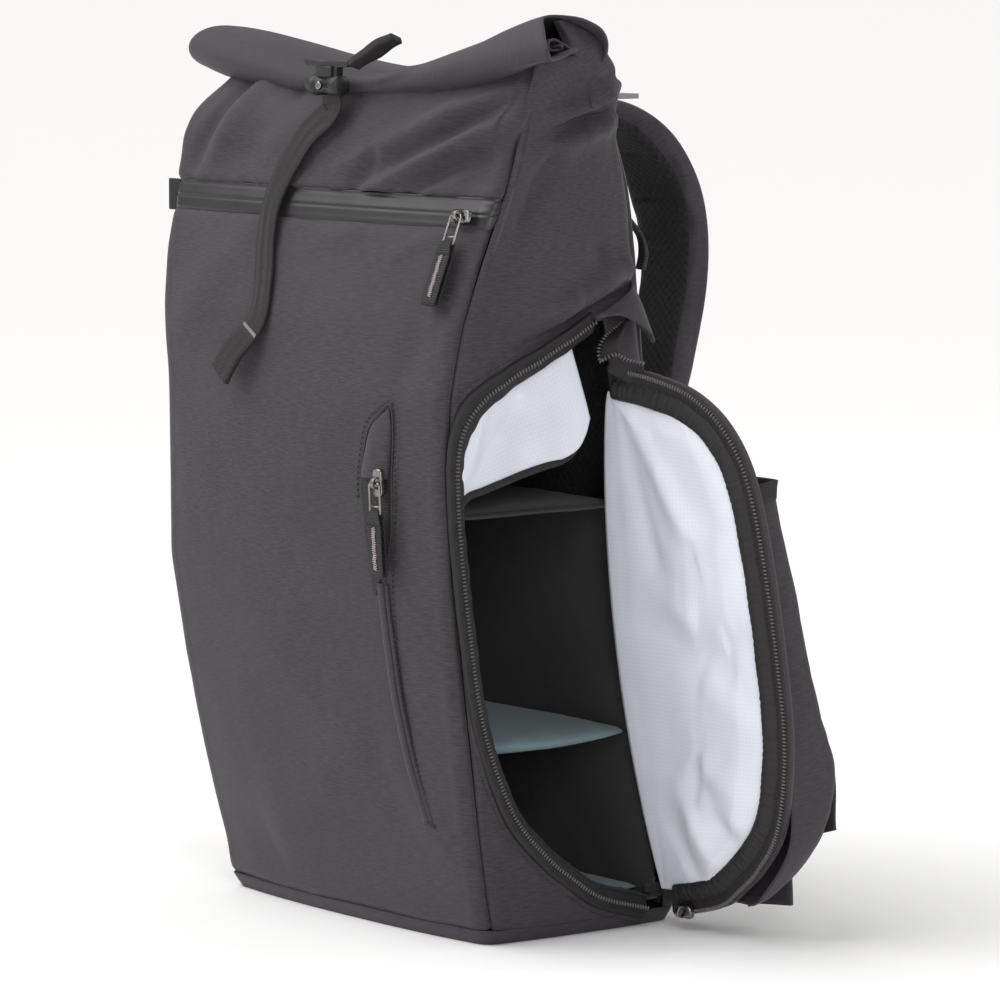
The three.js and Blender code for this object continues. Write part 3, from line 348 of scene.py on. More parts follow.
def surface(name, grid, material, body="pack", thick=0.0, wrap=False, inward=True, ends=False):
    """A mesh from rows of places in mm, with a UV map in metres along the cloth."""
    points = grid.reshape(-1, 3) / 1000
    rows, columns = grid.shape[:2]
    faces, spots = [], []
    middle_row, middle_column = grid[rows // 2], grid[:, columns // 2]
    closed_row = np.vstack([middle_row, middle_row[:1]]) if wrap else middle_row
    across = np.concatenate([[0], np.cumsum(np.linalg.norm(np.diff(closed_row, axis=0), axis=1))])
    along = np.concatenate([[0], np.cumsum(np.linalg.norm(np.diff(middle_column, axis=0), axis=1))])
    last = columns if wrap else columns - 1
    for i in range(rows - 1):
        for j in range(last):
            k = (j + 1) % columns
            faces.append((i * columns + j, i * columns + k, (i + 1) * columns + k,
                          (i + 1) * columns + j))
            spots += [(across[j], along[i]), (across[j + 1], along[i]),
                      (across[j + 1], along[i + 1]), (across[j], along[i + 1])]
    if ends:
        for i, order in ((0, -1), (rows - 1, 1)):
            faces.append(tuple(i * columns + j for j in range(columns))[::order])
            spots += [(across[j], along[i]) for j in range(columns)][::order]
    mesh = bpy.data.meshes.new(name)
    mesh.from_pydata(points.tolist(), [], faces)
    layer = mesh.uv_layers.new(name="cloth")
    layer.data.foreach_set("uv", (np.array(spots, float) / 1000).ravel())
    obj = bpy.data.objects.new(name, mesh)
    bpy.context.collection.objects.link(obj)
    if thick:
        wall = obj.modifiers.new("wall", "SOLIDIFY")
        wall.thickness = thick / 1000
        wall.offset = -1 if inward else 1
    return finish(obj, material, body)


# Woven cloth, as a shader group: threads of a plain weave and slubs along them.
weave, weave_in, weave_out = group(
    "plain_weave",
    [("Vector", "vector", None), ("Pitch", "float", 0.0008), ("Slub", "float", 6.0)],
    [("Threads", "float"), ("Slubs", "float"), ("Clouds", "float")])
threads = weave.node("ShaderNodeVectorMath", {"operation": "DIVIDE"}, i0=weave_in.outputs["Vector"])
pitches = weave.node("ShaderNodeCombineXYZ", None, X=weave_in.outputs["Pitch"],
                     Y=weave_in.outputs["Pitch"], Z=weave_in.outputs["Pitch"])
weave.tree.links.new(pitches.outputs[0], threads.inputs[1])
cells = weave.node("ShaderNodeSeparateXYZ", None, Vector=threads.outputs[0])
wave_x = weave.maths("SINE", weave.maths("MULTIPLY", cells.outputs[0], math.pi))
wave_y = weave.maths("SINE", weave.maths("MULTIPLY", cells.outputs[1], math.pi))
checks = weave.maths("MULTIPLY", wave_x, wave_y)
weave.feed(weave_out, "Threads", weave.maths("MULTIPLY_ADD", checks, 0.5, 0.5))
long_cells = weave.node("ShaderNodeCombineXYZ", None,
                        X=weave.maths("DIVIDE", cells.outputs[0], weave_in.outputs["Slub"]),
                        Y=cells.outputs[1])
slubs = weave.node("ShaderNodeTexNoise", {"noise_dimensions": "3D"}, Vector=long_cells.outputs[0],
                   Scale=1.0, Detail=2.0)
weave.feed(weave_out, "Slubs", slubs.outputs[0])
clouds = weave.node("ShaderNodeTexNoise", None, Vector=weave_in.outputs["Vector"], Scale=14.0,
                    Detail=4.0)
weave.feed(weave_out, "Clouds", clouds.outputs[0])


def woven(name, dark, light, pitch=0.0008, slub=6.0, rough=0.75, bump=0.35, contrast=0.6,
          depth=0.0003, **plain):
    """A woven material between two colours, on the piece's own UV map."""
    recipe = Recipe(name)
    place = recipe.node("ShaderNodeUVMap", {"uv_map": "cloth"})
    cloth = recipe.node("ShaderNodeGroup", {"node_tree": weave.tree}, Vector=place.outputs[0],
                        Pitch=pitch, Slub=slub)
    slub_tone = recipe.spread(cloth.outputs["Slubs"], 0.5 - 0.25 / contrast, 0.5 + 0.25 / contrast)
    thread_tone = recipe.maths("MULTIPLY", cloth.outputs["Threads"], 0.35)
    tone = recipe.maths("MULTIPLY_ADD", slub_tone, 0.65, thread_tone)
    worn = recipe.maths("MULTIPLY_ADD", cloth.outputs["Clouds"], 0.5, -0.25)
    color = recipe.blend(recipe.maths("ADD", tone, worn), (*dark, 1), (*light, 1))
    roughness = recipe.spread(cloth.outputs["Slubs"], 0.2, 0.8, rough - 0.08, rough + 0.1)
    height = recipe.maths("MULTIPLY_ADD", cloth.outputs["Slubs"], 0.5, thread_tone)
    return recipe.surface(color, roughness, height, bump, depth, **plain)


pack_cloth = woven("pack_cloth", (0.0086, 0.0069, 0.0092), (0.0430, 0.0355, 0.0455), pitch=0.00085,
                   slub=9.0, rough=0.70, bump=0.6, contrast=1.9, depth=0.0004, Sheen_Weight=0.07,
                   Sheen_Roughness=0.5)

front_stops = [("corner", 3, 0.25, 0.999, 5), ("face", 0, 0.0, 1.0, 92), ("corner", 0, 0.001, 0.75, 5)]
side_stops = [("corner", 0, 0.8, 0.999, 3), ("face", 1, 0.0, 1.0, 52), ("corner", 1, 0.08, 0.55, 5)]
left_stops = [("corner", 2, 0.45, 0.92, 5), ("face", 3, 0.0, 1.0, 52), ("corner", 3, 0.001, 0.2, 3)]
back_stops = [("corner", 1, 0.58, 0.999, 4), ("face", 2, 0.0, 1.0, 84), ("corner", 2, 0.001, 0.42, 4)]

# Folds of the front above and below the zip, as x and height of both ends in mm.
upper_folds = [
    # start, end, depth, width, sharp
    ((22, 434), (190, 498), 6.5, 8, 1.0),
    ((48, 431), (186, 486), -6.5, 6, 0.9),
    ((0, 433), (160, 499), -3.0, 6, 1.0),
    ((-20, 440), (150, 507), 3.0, 7, 1.0),
    ((70, 434), (150, 474), 4.5, 6, 1.0),
    ((112, 432), (132, 478), -1.5, 9, 1.0),
    ((60, 470), (176, 506), 3.4, 6, 1.0),
    ((90, 486), (176, 512), -2.4, 5, 1.0),
    ((-60, 490), (60, 500), 1.6, 6, 1.0),
    ((-144, 440), (-122, 500), -3.0, 6, 1.0),
    ((-128, 440), (-96, 500), 2.6, 10, 1.0),
    ((-96, 446), (-60, 496), -1.6, 12, 1.0),
    ((14, 430), (34, 462), -1.8, 5, 1.0),
]
lower_folds = [
    ((-150, 330), (-60, 418), 1.6, 16, 1.0),
    ((90, 300), (130, 416), -2.2, 12, 1.0),
    ((112, 350), (126, 418), 2.4, 8, 1.0),
    ((-20, 400), (40, 418), 1.2, 7, 1.0),
    ((60, 396), (110, 418), 1.4, 6, 1.0),
    ((-130, 60), (60, 90), 1.6, 26, 1.0),
    ((60, 120), (-60, 40), 1.4, 22, 1.0),
    ((-140, 200), (-60, 330), 1.2, 30, 1.0),
    ((128, 30), (70, 110), 1.6, 14, 1.0),
]


def folded(grid, folds, first, second):
    out = np.zeros(grid.shape[:2])
    for start, end, depth, width, sharp in folds:
        out += ridge(grid[..., first], grid[..., second], start, end, depth, width, sharp)
    return out



def cloth_panel(name, grid, lift, node, flat, rests, **facts):
    """One sewn panel: pushed out along its own normals."""
    pushed = grid + normals_of(grid) * lift[..., None]
    panel = surface(name, pushed, pack_cloth, thick=cloth_thick)
    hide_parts(node)
    return panel


front_heights = np.linspace(base_height, zip_height - seam_gap, 138)
front_grid = outline_grid(front_heights, front_stops)
lift = ripple(front_grid, 90, 1.1, (1, 1, 0.8), 3.0) + folded(front_grid, lower_folds, 0, 2)
lift = lift + turned_edges(*lift.shape) + turned_edges(*lift.shape, False, 1.0)
cloth_panel("front_cloth", front_grid, lift, "front_panel", (0.315, 0.425), ["base_panel"])

zip_top = zip_height + zip_width + seam_gap
upper_heights = np.linspace(zip_top, 506, 34)
upper_grid = outline_grid(upper_heights, front_stops)
to_seam = np.minimum(1, 0.25 + np.arange(upper_grid.shape[1])[::-1] / 12)
lift = ripple(upper_grid, 60, 1.2, (1, 1, 1.2), 8.0) + 1.6 * folded(upper_grid, upper_folds, 0, 2) * to_seam
lift = lift + turned_edges(*lift.shape)
# The seam over the zip is a little gathered.
gather = np.sin(upper_grid[..., 0] / 3.1) + np.sin(upper_grid[..., 0] / 5.3 + 1) + np.sin(upper_grid[..., 0] / 11)
seam_near = np.exp(-((upper_grid[..., 2] - zip_top) / 7) ** 2)
lift = lift + seam_near * (0.35 * gather + 0.9) - 1.6 * np.exp(-((upper_grid[..., 2] - zip_top) / 1.6) ** 2)
tuck = np.clip((upper_grid[..., 2] - 462) / 44, 0, 1) ** 1.6
upper_grid[..., 1] += 13 * tuck
upper_grid[..., 2] += 7 * tuck * np.clip((upper_grid[..., 0] - 60) / 70, 0, 1)
cloth_panel("upper_front_cloth", upper_grid, lift, "upper_front_panel", (0.335, 0.085),
            ["roll_top"])

# Folds of the sides, as y and height of both ends in mm.
gusset_folds = [
    ((-46, 478), (12, 502), 4.5, 6, 1.0),
    ((-44, 470), (12, 492), -4.0, 5, 0.9),
    ((-66, 452), (14, 484), 3.0, 8, 1.0),
    ((-84, 424), (-58, 480), 3.5, 6, 1.0),
    ((-70, 396), (-34, 462), -2.4, 8, 1.0),
    ((-10, 405), (26, 396), -2.4, 6, 1.0),
    ((-66, 346), (34, 384), -3.4, 5, 0.9),
    ((-66, 356), (36, 396), 3.2, 8, 1.0),
    ((-90, 390), (-20, 372), 1.8, 10, 1.0),
]
left_folds = [
    ((-20, 440), (-80, 480), 3.4, 7, 1.0),
    ((20, 420), (-70, 450), -2.4, 7, 1.0),
    ((30, 250), (-80, 330), 2.0, 16, 1.0),
    ((-90, 180), (30, 120), 1.8, 20, 1.0),
]
side_heights = np.linspace(base_height, 508, 168)
right_grid = outline_grid(side_heights, side_stops)
left_grid = outline_grid(side_heights, left_stops)


def slack_end(share, u, v):
    """The roll's underside is drawn up at its right end, most of all towards the back."""
    near = np.clip((share - 0.45) / 0.45, 0, 1) * np.clip((0.6 - u) / 0.25, 0, 1)
    drawn = (-0.28 + 0.35 * np.clip((u + 0.5) / 0.8, 0, 1)) * np.clip(-v / 0.4, 0, 1)
    return np.where(v < 0, v + (drawn - v) * near * near * (3 - 2 * near), v)


def below_roll(grid):
    """Brings the sides' top rows down to where the roll lies on them."""
    share = grid[..., 0] / (roll_length / 2)
    middle, tall, deep = (np.interp(share, roll_rows[:, 0], roll_rows[:, k]) for k in (1, 2, 3))
    across = np.clip((grid[..., 1] - roll_middle) / (deep * roll_deep / 2), -1, 1)
    under = slack_end(share, across, -np.sqrt(1 - across ** 2))
    foot = middle * pack_height + tall * roll_tall / 2 * under + 2.5 * (share > 0)
    highest = 508 + 9 * (share[-1:] > 0) * np.clip((0.6 - across[-1:]) / 0.4, 0, 1)
    top = np.minimum(highest, foot[-1:])
    kept = grid[..., 2] < 440
    eased_up = 440 + (grid[..., 2] - 440) * (top - 440) / (grid[-1:, :, 2] - 440)
    grid[..., 2] = np.where(kept, grid[..., 2], eased_up)
    return grid


def soft_shoulder(grid):
    """Draws the top of the right rear corner in, where the bag is not filled."""
    up = np.clip((grid[..., 2] - 425) / 75, 0, 1) ** 1.5
    grid[..., 1] -= 15.0 * up * np.clip((grid[..., 1] - 2) / 20, 0, 1) * np.clip((grid[..., 0] - 60) / 60, 0, 1)
    return grid


right_grid, left_grid = soft_shoulder(below_roll(right_grid)), below_roll(left_grid)


def side_lift(grid, folds, seed):
    columns = np.arange(grid.shape[1])
    held = np.minimum(1, 0.22 + np.minimum(columns, columns[::-1]) / 16)
    out = ripple(grid, 75, 1.5, (1, 1, 0.8), seed) + 2.4 * folded(grid, folds, 1, 2) * held
    return out + turned_edges(*out.shape)


left_side = cloth_panel("left_side_cloth", left_grid, side_lift(left_grid, left_folds, 21.0),
                        "side_panel_left", (0.17, 0.5), ["base_panel"])

# Outline of the door opening, from the same rows as the door, as y and height.
door_height, door_reach, opening_reach, opening_height = 333.0, 129.0, 122.0, 340.0
opening_foot, door_foot, hinge_foot, hinge_lean = 12.0, 8.0, 58.8, 0.155
door_rows = np.array([
    # up, out
    (0, 0.1), (0.03, 0.38), (0.065, 0.53), (0.117, 0.7), (0.2, 0.87), (0.345, 0.98), (0.5, 1),
    (0.69, 0.985), (0.83, 0.93), (0.915, 0.8), (0.965, 0.6), (0.988, 0.35), (1, 0.06),
])


def spline(points, count, even=True):
    """Smooth places through a few points, a Catmull-Rom curve, with even steps or not."""
    points = np.asarray(points, float)
    ends = np.vstack([2 * points[0] - points[1], points, 2 * points[-1] - points[-2]])
    out = []
    for k in range(len(points) - 1):
        a, b, c, d = ends[k:k + 4]
        for share in np.linspace(0, 1, 24, endpoint=False):
            out.append(0.5 * (2 * b + (c - a) * share + (2 * a - 5 * b + 4 * c - d) * share ** 2
                              + (3 * b - a - 3 * c + d) * share ** 3))
    out = np.array(out + [points[-1]])
    run = np.arange(len(out), dtype=float)
    if even:
        run = np.concatenate([[0], np.cumsum(np.linalg.norm(np.diff(out, axis=0), axis=1))])
    places = np.linspace(0, run[-1], count)
    return np.stack([np.interp(places, run, out[:, k]) for k in range(out.shape[1])], 1)


def door_edge(reach, inset, count=120):
    """The door's free edge as places out from the hinge and up, moved in by inset."""
    edge = spline([(out * reach, up * door_height) for up, out in door_rows], count)
    run = np.gradient(edge, axis=0)
    run /= np.linalg.norm(run, axis=1, keepdims=True)
    moved = edge + np.column_stack([-run[:, 1], run[:, 0]]) * inset
    kept = [moved[0]]
    for place in moved[1:]:
        if place[1] > kept[-1][1] + 0.05:
            kept.append(place)
    return np.array(kept)


def slumped(places):
    """The open top of the side sags at the front and is drawn up at the hinge, in mm."""
    sag = np.interp(places[:, 0], (-104, -88, -70, -46, -22, -6, 8), (-3, -9, -11, -7, 1, 8, 12))
    sag = sag * np.clip((places[:, 1] - 262) / 50, 0, 1)
    return places + np.column_stack([0 * sag, sag])


def opening_edge(margin):
    """The opening's free edge in the right side, grown by margin, as y and height."""
    edge = door_edge(opening_reach, -margin)
    height = opening_foot + edge[:, 1] * opening_height / door_height
    return slumped(np.column_stack([hinge_foot - hinge_lean * height - edge[:, 0], height]))


def opening_loop(margin, behind=0.0):
    """The whole opening as a closed outline."""
    edge = opening_edge(margin)
    low, high = edge[0, 1], edge[-1, 1]
    rear = np.array([[hinge_foot - hinge_lean * z + margin + behind, z] for z in (low, high)])
    return np.vstack([rear[:1], edge, rear[1:]])


def is_inside(loop, a, b):
    inside = False
    for (x0, y0), (x1, y1) in zip(loop, np.roll(loop, -1, axis=0)):
        if (y0 > b) != (y1 > b) and a < (x1 - x0) * (b - y0) / (y1 - y0) + x0:
            inside = not inside
    return inside


def nearest_on(loop, a, b):
    here = np.array((a, b))
    start, end = loop, np.roll(loop, -1, axis=0)
    run = end - start
    share = np.clip(((here - start) * run).sum(1) / np.maximum((run ** 2).sum(1), 1e-9), 0, 1)
    spots = start + run * share[:, None]
    return spots[np.argmin(((spots - here) ** 2).sum(1))]


def cut_hole(obj, loop, first, second, beyond=-1000.0):
    """Takes the faces inside a flat outline out of a mesh and trims its edge to it."""
    work = bmesh.new()
    work.from_mesh(obj.data)
    gone = []
    for face in work.faces:
        middle = face.calc_center_median() * 1000
        if middle[0] > beyond and is_inside(loop, middle[first], middle[second]):
            gone.append(face)
    bmesh.ops.delete(work, geom=gone, context="FACES")
    for vert in work.verts:
        if vert.is_boundary:
            spot = nearest_on(loop, vert.co[first] * 1000, vert.co[second] * 1000) / 1000
            if math.hypot(spot[0] - vert.co[first], spot[1] - vert.co[second]) < 0.0035:
                vert.co[first], vert.co[second] = spot
    work.to_mesh(obj.data)
    work.free()


right_side = cloth_panel("right_side_cloth", right_grid, side_lift(right_grid, gusset_folds, 33.0),
                         "side_panel_right", (0.17, 0.5), ["base_panel"], area=0.028)
cut_hole(right_side, opening_loop(2.5), 1, 2)

# The base is a tray of coated cloth turned up round the bag's foot.
all_round = [("face", 0, 0.0, 0.99, 30), ("corner", 0, 0, 0.9, 5), ("face", 1, 0.0, 0.99, 16),
             ("corner", 1, 0, 0.9, 5), ("face", 2, 0.0, 0.99, 30), ("corner", 2, 0, 0.9, 5),
             ("face", 3, 0.0, 0.99, 16), ("corner", 3, 0, 0.9, 5)]
base_grid = outline_grid(np.linspace(0.25, base_height - 0.3, 5), all_round)
base = surface("base_tray", base_grid, pack_cloth, thick=1.2, wrap=True, ends=False)
work = bmesh.new()
work.from_mesh(base.data)
foot = [v for v in work.verts if v.co.z < 0.0004]
work.faces.new(foot[::-1])
work.to_mesh(base.data)
work.free()
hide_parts("base_panel")


# Rolled top.
# The bag's mouth is rolled forward: one sheet of the pack cloth, one full outer turn
# and a smaller turn inside it, flattened in the middle where the hook pulls it down.
outer_turn = np.radians(np.arange(-65, 256, 6.0))
inner_turn = spline([
    # across and up, as shares of the roll's half size
    (-0.26, -0.966), (0.02, -0.95), (0.1, -0.7), (0.13, -0.25), (0.07, 0.05), (-0.08, 0.2), (-0.24, 0.3),
    (-0.4, 0.28), (-0.48, 0.1), (-0.4, -0.08), (-0.26, -0.06), (-0.21, 0.08), (-0.3, 0.15)], 56, even=False)
u = np.concatenate([np.cos(outer_turn), inner_turn[1:, 0]])
v = np.concatenate([np.sin(outer_turn), inner_turn[1:, 1]])
alongs = np.linspace(-1.04, 0.945, 118)
middles = eased(alongs, roll_rows[:, (0, 1)], pack_height, 0.16)
talls = eased(alongs, roll_rows[:, (0, 2)], roll_tall / 2, 0.16)
deeps = eased(alongs, roll_rows[:, (0, 3)], roll_deep / 2, 0.16)
# How far the right end reaches at each angle: the front of the outer layer goes furthest.
end_angles = [-65, 0, 40, 70, 84, 96, 108, 120, 135, 150, 165, 180, 195, 210, 225, 240, 252, 270]
end_reaches = [151, 154, 157, 154, 149, 146, 147, 154, 163.5, 171, 176, 179.5, 180, 178, 174, 170, 168, 166]
reach = np.concatenate([np.interp(np.degrees(outer_turn), end_angles, end_reaches),
                        np.interp(np.arange(1, 56), [1, 12, 24, 55], [167, 160, 155, 163])])
roll_across = np.where(alongs[:, None] > 0.55,
                       99.5 + (alongs[:, None] * roll_length / 2 - 99.5) * (reach - 99.5) / (171.0 - 99.5),
                       alongs[:, None] * roll_length / 2)
roll_grid = np.stack([
    roll_across,
    roll_middle - 1.5 + deeps[:, None] * 1.03 * u[None, :],
    middles[:, None] + (talls[:, None] - 0.6) * slack_end(alongs[:, None], u[None, :], v[None, :]),
], -1)
lift = ripple(roll_grid, 70, 1.5, (0.5, 1.2, 1.2), 5.0)
pinch = np.exp(-((alongs * roll_length / 2 + 8) / 60) ** 2)[:, None]
lift = lift + 1.2 * pinch * np.sin(np.linspace(0, 54, len(u)))[None, :]
taper = np.clip((alongs + 1.05) / 0.05, 0.35, 1)[:, None]
roll_grid = roll_grid + normals_of(roll_grid) * (lift * taper)[..., None]
roll = surface("rolled_mouth", roll_grid, pack_cloth, thick=1.4)
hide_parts("roll_top")

# At the right end the back layer of the mouth turns down over the bag's shoulder.
shoulder_back = spline([(12, 484), (11.5, 492), (9, 502), (3.5, 513), (-7, 525.5), (-20, 533.5), (-33, 538)], 46)
shoulder_front = spline([(-27, 484), (-25, 494), (-25, 503), (-28, 511), (-31, 520), (-34, 530), (-37, 537)], 46)
cheek_share = np.concatenate([np.linspace(0, 1, 24), np.linspace(1.0, 1.0, 8)])
tuck_in = np.concatenate([np.zeros(24), np.linspace(0.15, 1, 8)])
places = shoulder_front[:, None] + (shoulder_back - shoulder_front)[:, None] * cheek_share[None, :, None]
round_off = 1 - np.sqrt(np.clip(1 - cheek_share ** 3, 0, 1))
fore = np.exp(-(cheek_share / 0.1) ** 2) * (cheek_share < 0.99)
rise = np.linspace(0, 1, 46)[:, None]
cheek_x = 154.0 - 5.5 * rise ** 2 - 8.0 * np.exp(-((places[..., 1] - 484) / 13) ** 2) - 5.0 * round_off[None] - 26 * tuck_in[None] - 5.0 * fore[None] * (0.4 + 0.6 * rise)
inward = tuck_in[None, :, None] * np.stack([-(places[..., 0] + 30) * 0.10, -(places[..., 1] - 505) * 0.06], -1)
places = places + np.where(places[..., 1:] > 505, inward, 0)
cheek_grid = np.concatenate([cheek_x[..., None], places], -1)
cheek_lift = ripple(cheek_grid, 30, 0.9, (1, 1, 1), 55.0)
cheek_lift = cheek_lift + ridge(cheek_grid[..., 1], cheek_grid[..., 2], (-30, 508), (14, 500), 1.8, 5)
cheek_lift = cheek_lift + ridge(cheek_grid[..., 1], cheek_grid[..., 2], (-30, 498), (14, 506), -2.4, 3.5)
cheek = surface("shoulder_cloth", cheek_grid + normals_of(cheek_grid) * (cheek_lift * (tuck_in < 0.1))[..., None],
                pack_cloth, thick=1.3)


# Padded back.
# The back is foam behind a spacer mesh, sewn down in channels: two upright pads with
# an open channel between them, and a lower pad across the hips.
air_mesh = woven("spacer_mesh", (0.004, 0.0045, 0.0045), (0.026, 0.0265, 0.027), pitch=0.0032, slub=1.0,
                 rough=0.85, bump=1.0, contrast=1.2, depth=0.0012)
back_heights = np.linspace(base_height, 512, 150)
back_grid = soft_shoulder(outline_grid(back_heights, back_stops))
# Its top edge ends behind the roll and follows the roll's dip.
back_share = back_grid[..., 0] / (roll_length / 2)
crest = (np.interp(back_share, roll_rows[:, 0], roll_rows[:, 1]) * pack_height
         + 0.25 * np.interp(back_share, roll_rows[:, 0], roll_rows[:, 2]) * roll_tall / 2)
crest = crest - 20 * np.clip((back_grid[..., 0] - 108) / 24, 0, 1)
back_top = np.clip((back_grid[..., 2] - 440) / 72, 0, 1)
back_grid[..., 2] += back_top * (crest - 512)
across, height = back_grid[..., 0], back_grid[..., 2]
aside = abs(across)
lift = 2.5 * (1 - np.exp(-((aside - 8) / 7) ** 2)) * (aside > 8) - 1.5 * (aside <= 8)
for line in (120.0, 225.0, 330.0, 430.0):
    lift = lift - 3.0 * np.exp(-((height - line) / 3.5) ** 2) * (aside > 10) * (aside < 122)
lift = lift - 2.5 * np.exp(-((aside - 118) / 4) ** 2)
lift = lift + turned_edges(*lift.shape) + ripple(back_grid, 60, 0.7, (1, 1, 1), 44.0)
back = surface("back_pad", back_grid + normals_of(back_grid) * lift[..., None], pack_cloth, thick=9.0)
back.data.materials.append(air_mesh)
for polygon in back.data.polygons:
    if 6 <= polygon.index % (back_grid.shape[1] - 1) < back_grid.shape[1] - 7:
        polygon.material_index = 1
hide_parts("back_panel")


# Harness.
# Each side has a shaped shoulder strap of foam between cloth and spacer mesh, with a
# turned edge, an adjuster, its webbing and a cloth wing that anchors the webbing.
strap_rows = np.array([
    # across, behind, up, width, thick
    (0.42, 0.19, 0.876, 0.8, 0.6),
    (0.46, 0.36, 0.886, 0.95, 0.9),
    (0.48, 0.57, 0.855, 1, 1),
    (0.485, 0.71, 0.805, 1, 1),
    (0.49, 0.765, 0.748, 0.98, 1),
    (0.51, 0.745, 0.68, 0.94, 1),
    (0.55, 0.66, 0.61, 0.86, 1),
    (0.61, 0.58, 0.545, 0.76, 0.9),
    (0.68, 0.545, 0.485, 0.62, 0.7),
])
strap_width, strap_thick = 66.0, 13.0


def swept(middles, widths, thicks, section, wide, count):
    """Places of a band swept along middles: rows along it, columns round its section."""
    line = spline(middles, count, even=False)
    share = np.linspace(0, len(middles) - 1, count)
    spots = np.arange(len(middles))
    width = np.interp(share, spots, widths)[:, None, None]
    thick = np.interp(share, spots, thicks)[:, None, None]
    run = np.gradient(line, axis=0)
    run /= np.linalg.norm(run, axis=1, keepdims=True)
    wide = np.asarray(wide, float)
    if wide.ndim == 1:
        wide = np.repeat(wide[None], len(middles), 0)
    wide = np.stack([np.interp(share, spots, wide[:, k]) for k in range(3)], 1)
    side = wide - run * (wide * run).sum(1, keepdims=True)
    side /= np.linalg.norm(side, axis=1, keepdims=True)
    face = np.cross(run, side)
    section = np.asarray(section, float)
    return (line[:, None] + side[:, None] * section[None, :, :1] * width / 2
            + face[:, None] * section[None, :, 1:] * thick / 2)


def pad_section(count=28, flat=0.45):
    """A crowned pad's section with a flatter middle and a thin sewn edge."""
    turns = np.linspace(0, 2 * math.pi, count, endpoint=False)
    u = np.sign(np.cos(turns)) * abs(np.cos(turns)) ** 0.75
    v = np.sign(np.sin(turns)) * abs(np.sin(turns)) ** flat
    return np.column_stack([u, v])


def swell(pad, cap, pressure=4.0):
    """Lets a padded piece swell as cloth over foam, with its ends held, up to cap in mm."""
    scene = bpy.context.scene
    before = np.array([v.co for v in pad.data.vertices])
    held = pad.vertex_groups.new(name="sewn")
    held.add([v.index for v in pad.data.vertices if v.index < 56 or v.index >= len(before) - 56], 1.0, "REPLACE")
    cloth = pad.modifiers.new("swell", "CLOTH")
    cloth.settings.quality = 6
    cloth.settings.use_pressure = True
    cloth.settings.uniform_pressure_force = pressure
    cloth.settings.vertex_group_mass = "sewn"
    cloth.settings.effector_weights.gravity = 0
    cloth.point_cache.frame_start, cloth.point_cache.frame_end = 1, 20
    for step in range(1, 21):
        scene.frame_set(step)
    shaped = pad.evaluated_get(bpy.context.evaluated_depsgraph_get()).to_mesh()
    after = np.array([v.co for v in shaped.vertices])
    pad.modifiers.remove(cloth)
    pad.vertex_groups.remove(held)
    moved = after - before
    size = np.linalg.norm(moved, axis=1, keepdims=True)
    moved *= np.minimum(1.0, cap / 1000 / np.maximum(size, 1e-9))
    pad.data.vertices.foreach_set("co", (before + moved).ravel())
    pad.data.update()
    scene.frame_set(1)


def harness(side, name):
    middles = [(side * a * pack_width / 2, b * pack_depth, c * pack_height)
               for a, b, c, _, _ in strap_rows]
    back_here = float(limits(middles[0][2])[4])
    middles[0] = (middles[0][0], back_here + 0.55 * strap_thick, middles[0][2])
    grid = swept(middles, strap_rows[:, 3] * strap_width, strap_rows[:, 4] * strap_thick,
                 pad_section(), (1, 0, 0), 90)
    strap = surface(f"shoulder_strap_{name}_pad", grid, pack_cloth, wrap=True, ends=True)
    strap.data.materials.append(air_mesh)
    for polygon in strap.data.polygons:
        column = polygon.index % 28
        if 3 <= column < 11 and polygon.index < 89 * 28:
            polygon.material_index = 1
    swell(strap, 4.0)
    rounder = strap.modifiers.new("round", "SUBSURF")
    rounder.levels = rounder.render_levels = 1
    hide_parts(f"shoulder_strap_{name}")
    return grid


for side, name in ((1, "right"), (-1, "left")):
    harness(side, name)



# Stitches and zip teeth.
# Both are rows of small rounded pieces set along a path, and both are made by one
# geometry tree: it steps along the path and turns each piece to face off the cloth.
row_tree = bpy.data.node_groups.new("row_along_path", "GeometryNodeTree")
row_tree.interface.new_socket("Geometry", in_out="INPUT", socket_type="NodeSocketGeometry")
row_tree.interface.new_socket("Geometry", in_out="OUTPUT", socket_type="NodeSocketGeometry")
row_inputs = {}
for socket, kind in (("Spacing", "NodeSocketFloat"), ("Size", "NodeSocketVector"),
                     ("Material", "NodeSocketMaterial")):
    row_inputs[socket] = row_tree.interface.new_socket(socket, in_out="INPUT", socket_type=kind)
build = Recipe("row_along_path", row_tree)
row_in = build.node("NodeGroupInput")
row_out = build.node("NodeGroupOutput")
line = build.node("GeometryNodeMeshToCurve", None, Mesh=row_in.outputs["Geometry"])
steps = build.node("GeometryNodeResampleCurve", {"mode": "LENGTH"}, Curve=line.outputs[0],
                   Length=row_in.outputs["Spacing"])
facing = build.node("GeometryNodeInputNamedAttribute", {"data_type": "FLOAT_VECTOR"}, Name="facing")
tangent = build.node("GeometryNodeInputTangent")
along = build.node("FunctionNodeAlignRotationToVector", {"axis": "X"}, Vector=tangent.outputs[0])
turned = build.node("FunctionNodeAlignRotationToVector", {"axis": "Z", "pivot_axis": "X"},
                    Rotation=along.outputs[0], Vector=facing.outputs[0])
grain = build.node("GeometryNodeMeshUVSphere", None, Segments=8, Rings=5, Radius=0.5)
spots = build.node("GeometryNodeInstanceOnPoints", None, Points=steps.outputs[0],
                   Instance=grain.outputs[0], Rotation=turned.outputs[0],
                   Scale=row_in.outputs["Size"])
solid = build.node("GeometryNodeRealizeInstances", None, Geometry=spots.outputs[0])
smooth = build.node("GeometryNodeSetShadeSmooth", None, Geometry=solid.outputs[0])
coloured = build.node("GeometryNodeSetMaterial", None, Geometry=smooth.outputs[0],
                      Material=row_in.outputs["Material"])
build.feed(row_out, "Geometry", coloured.outputs[0])


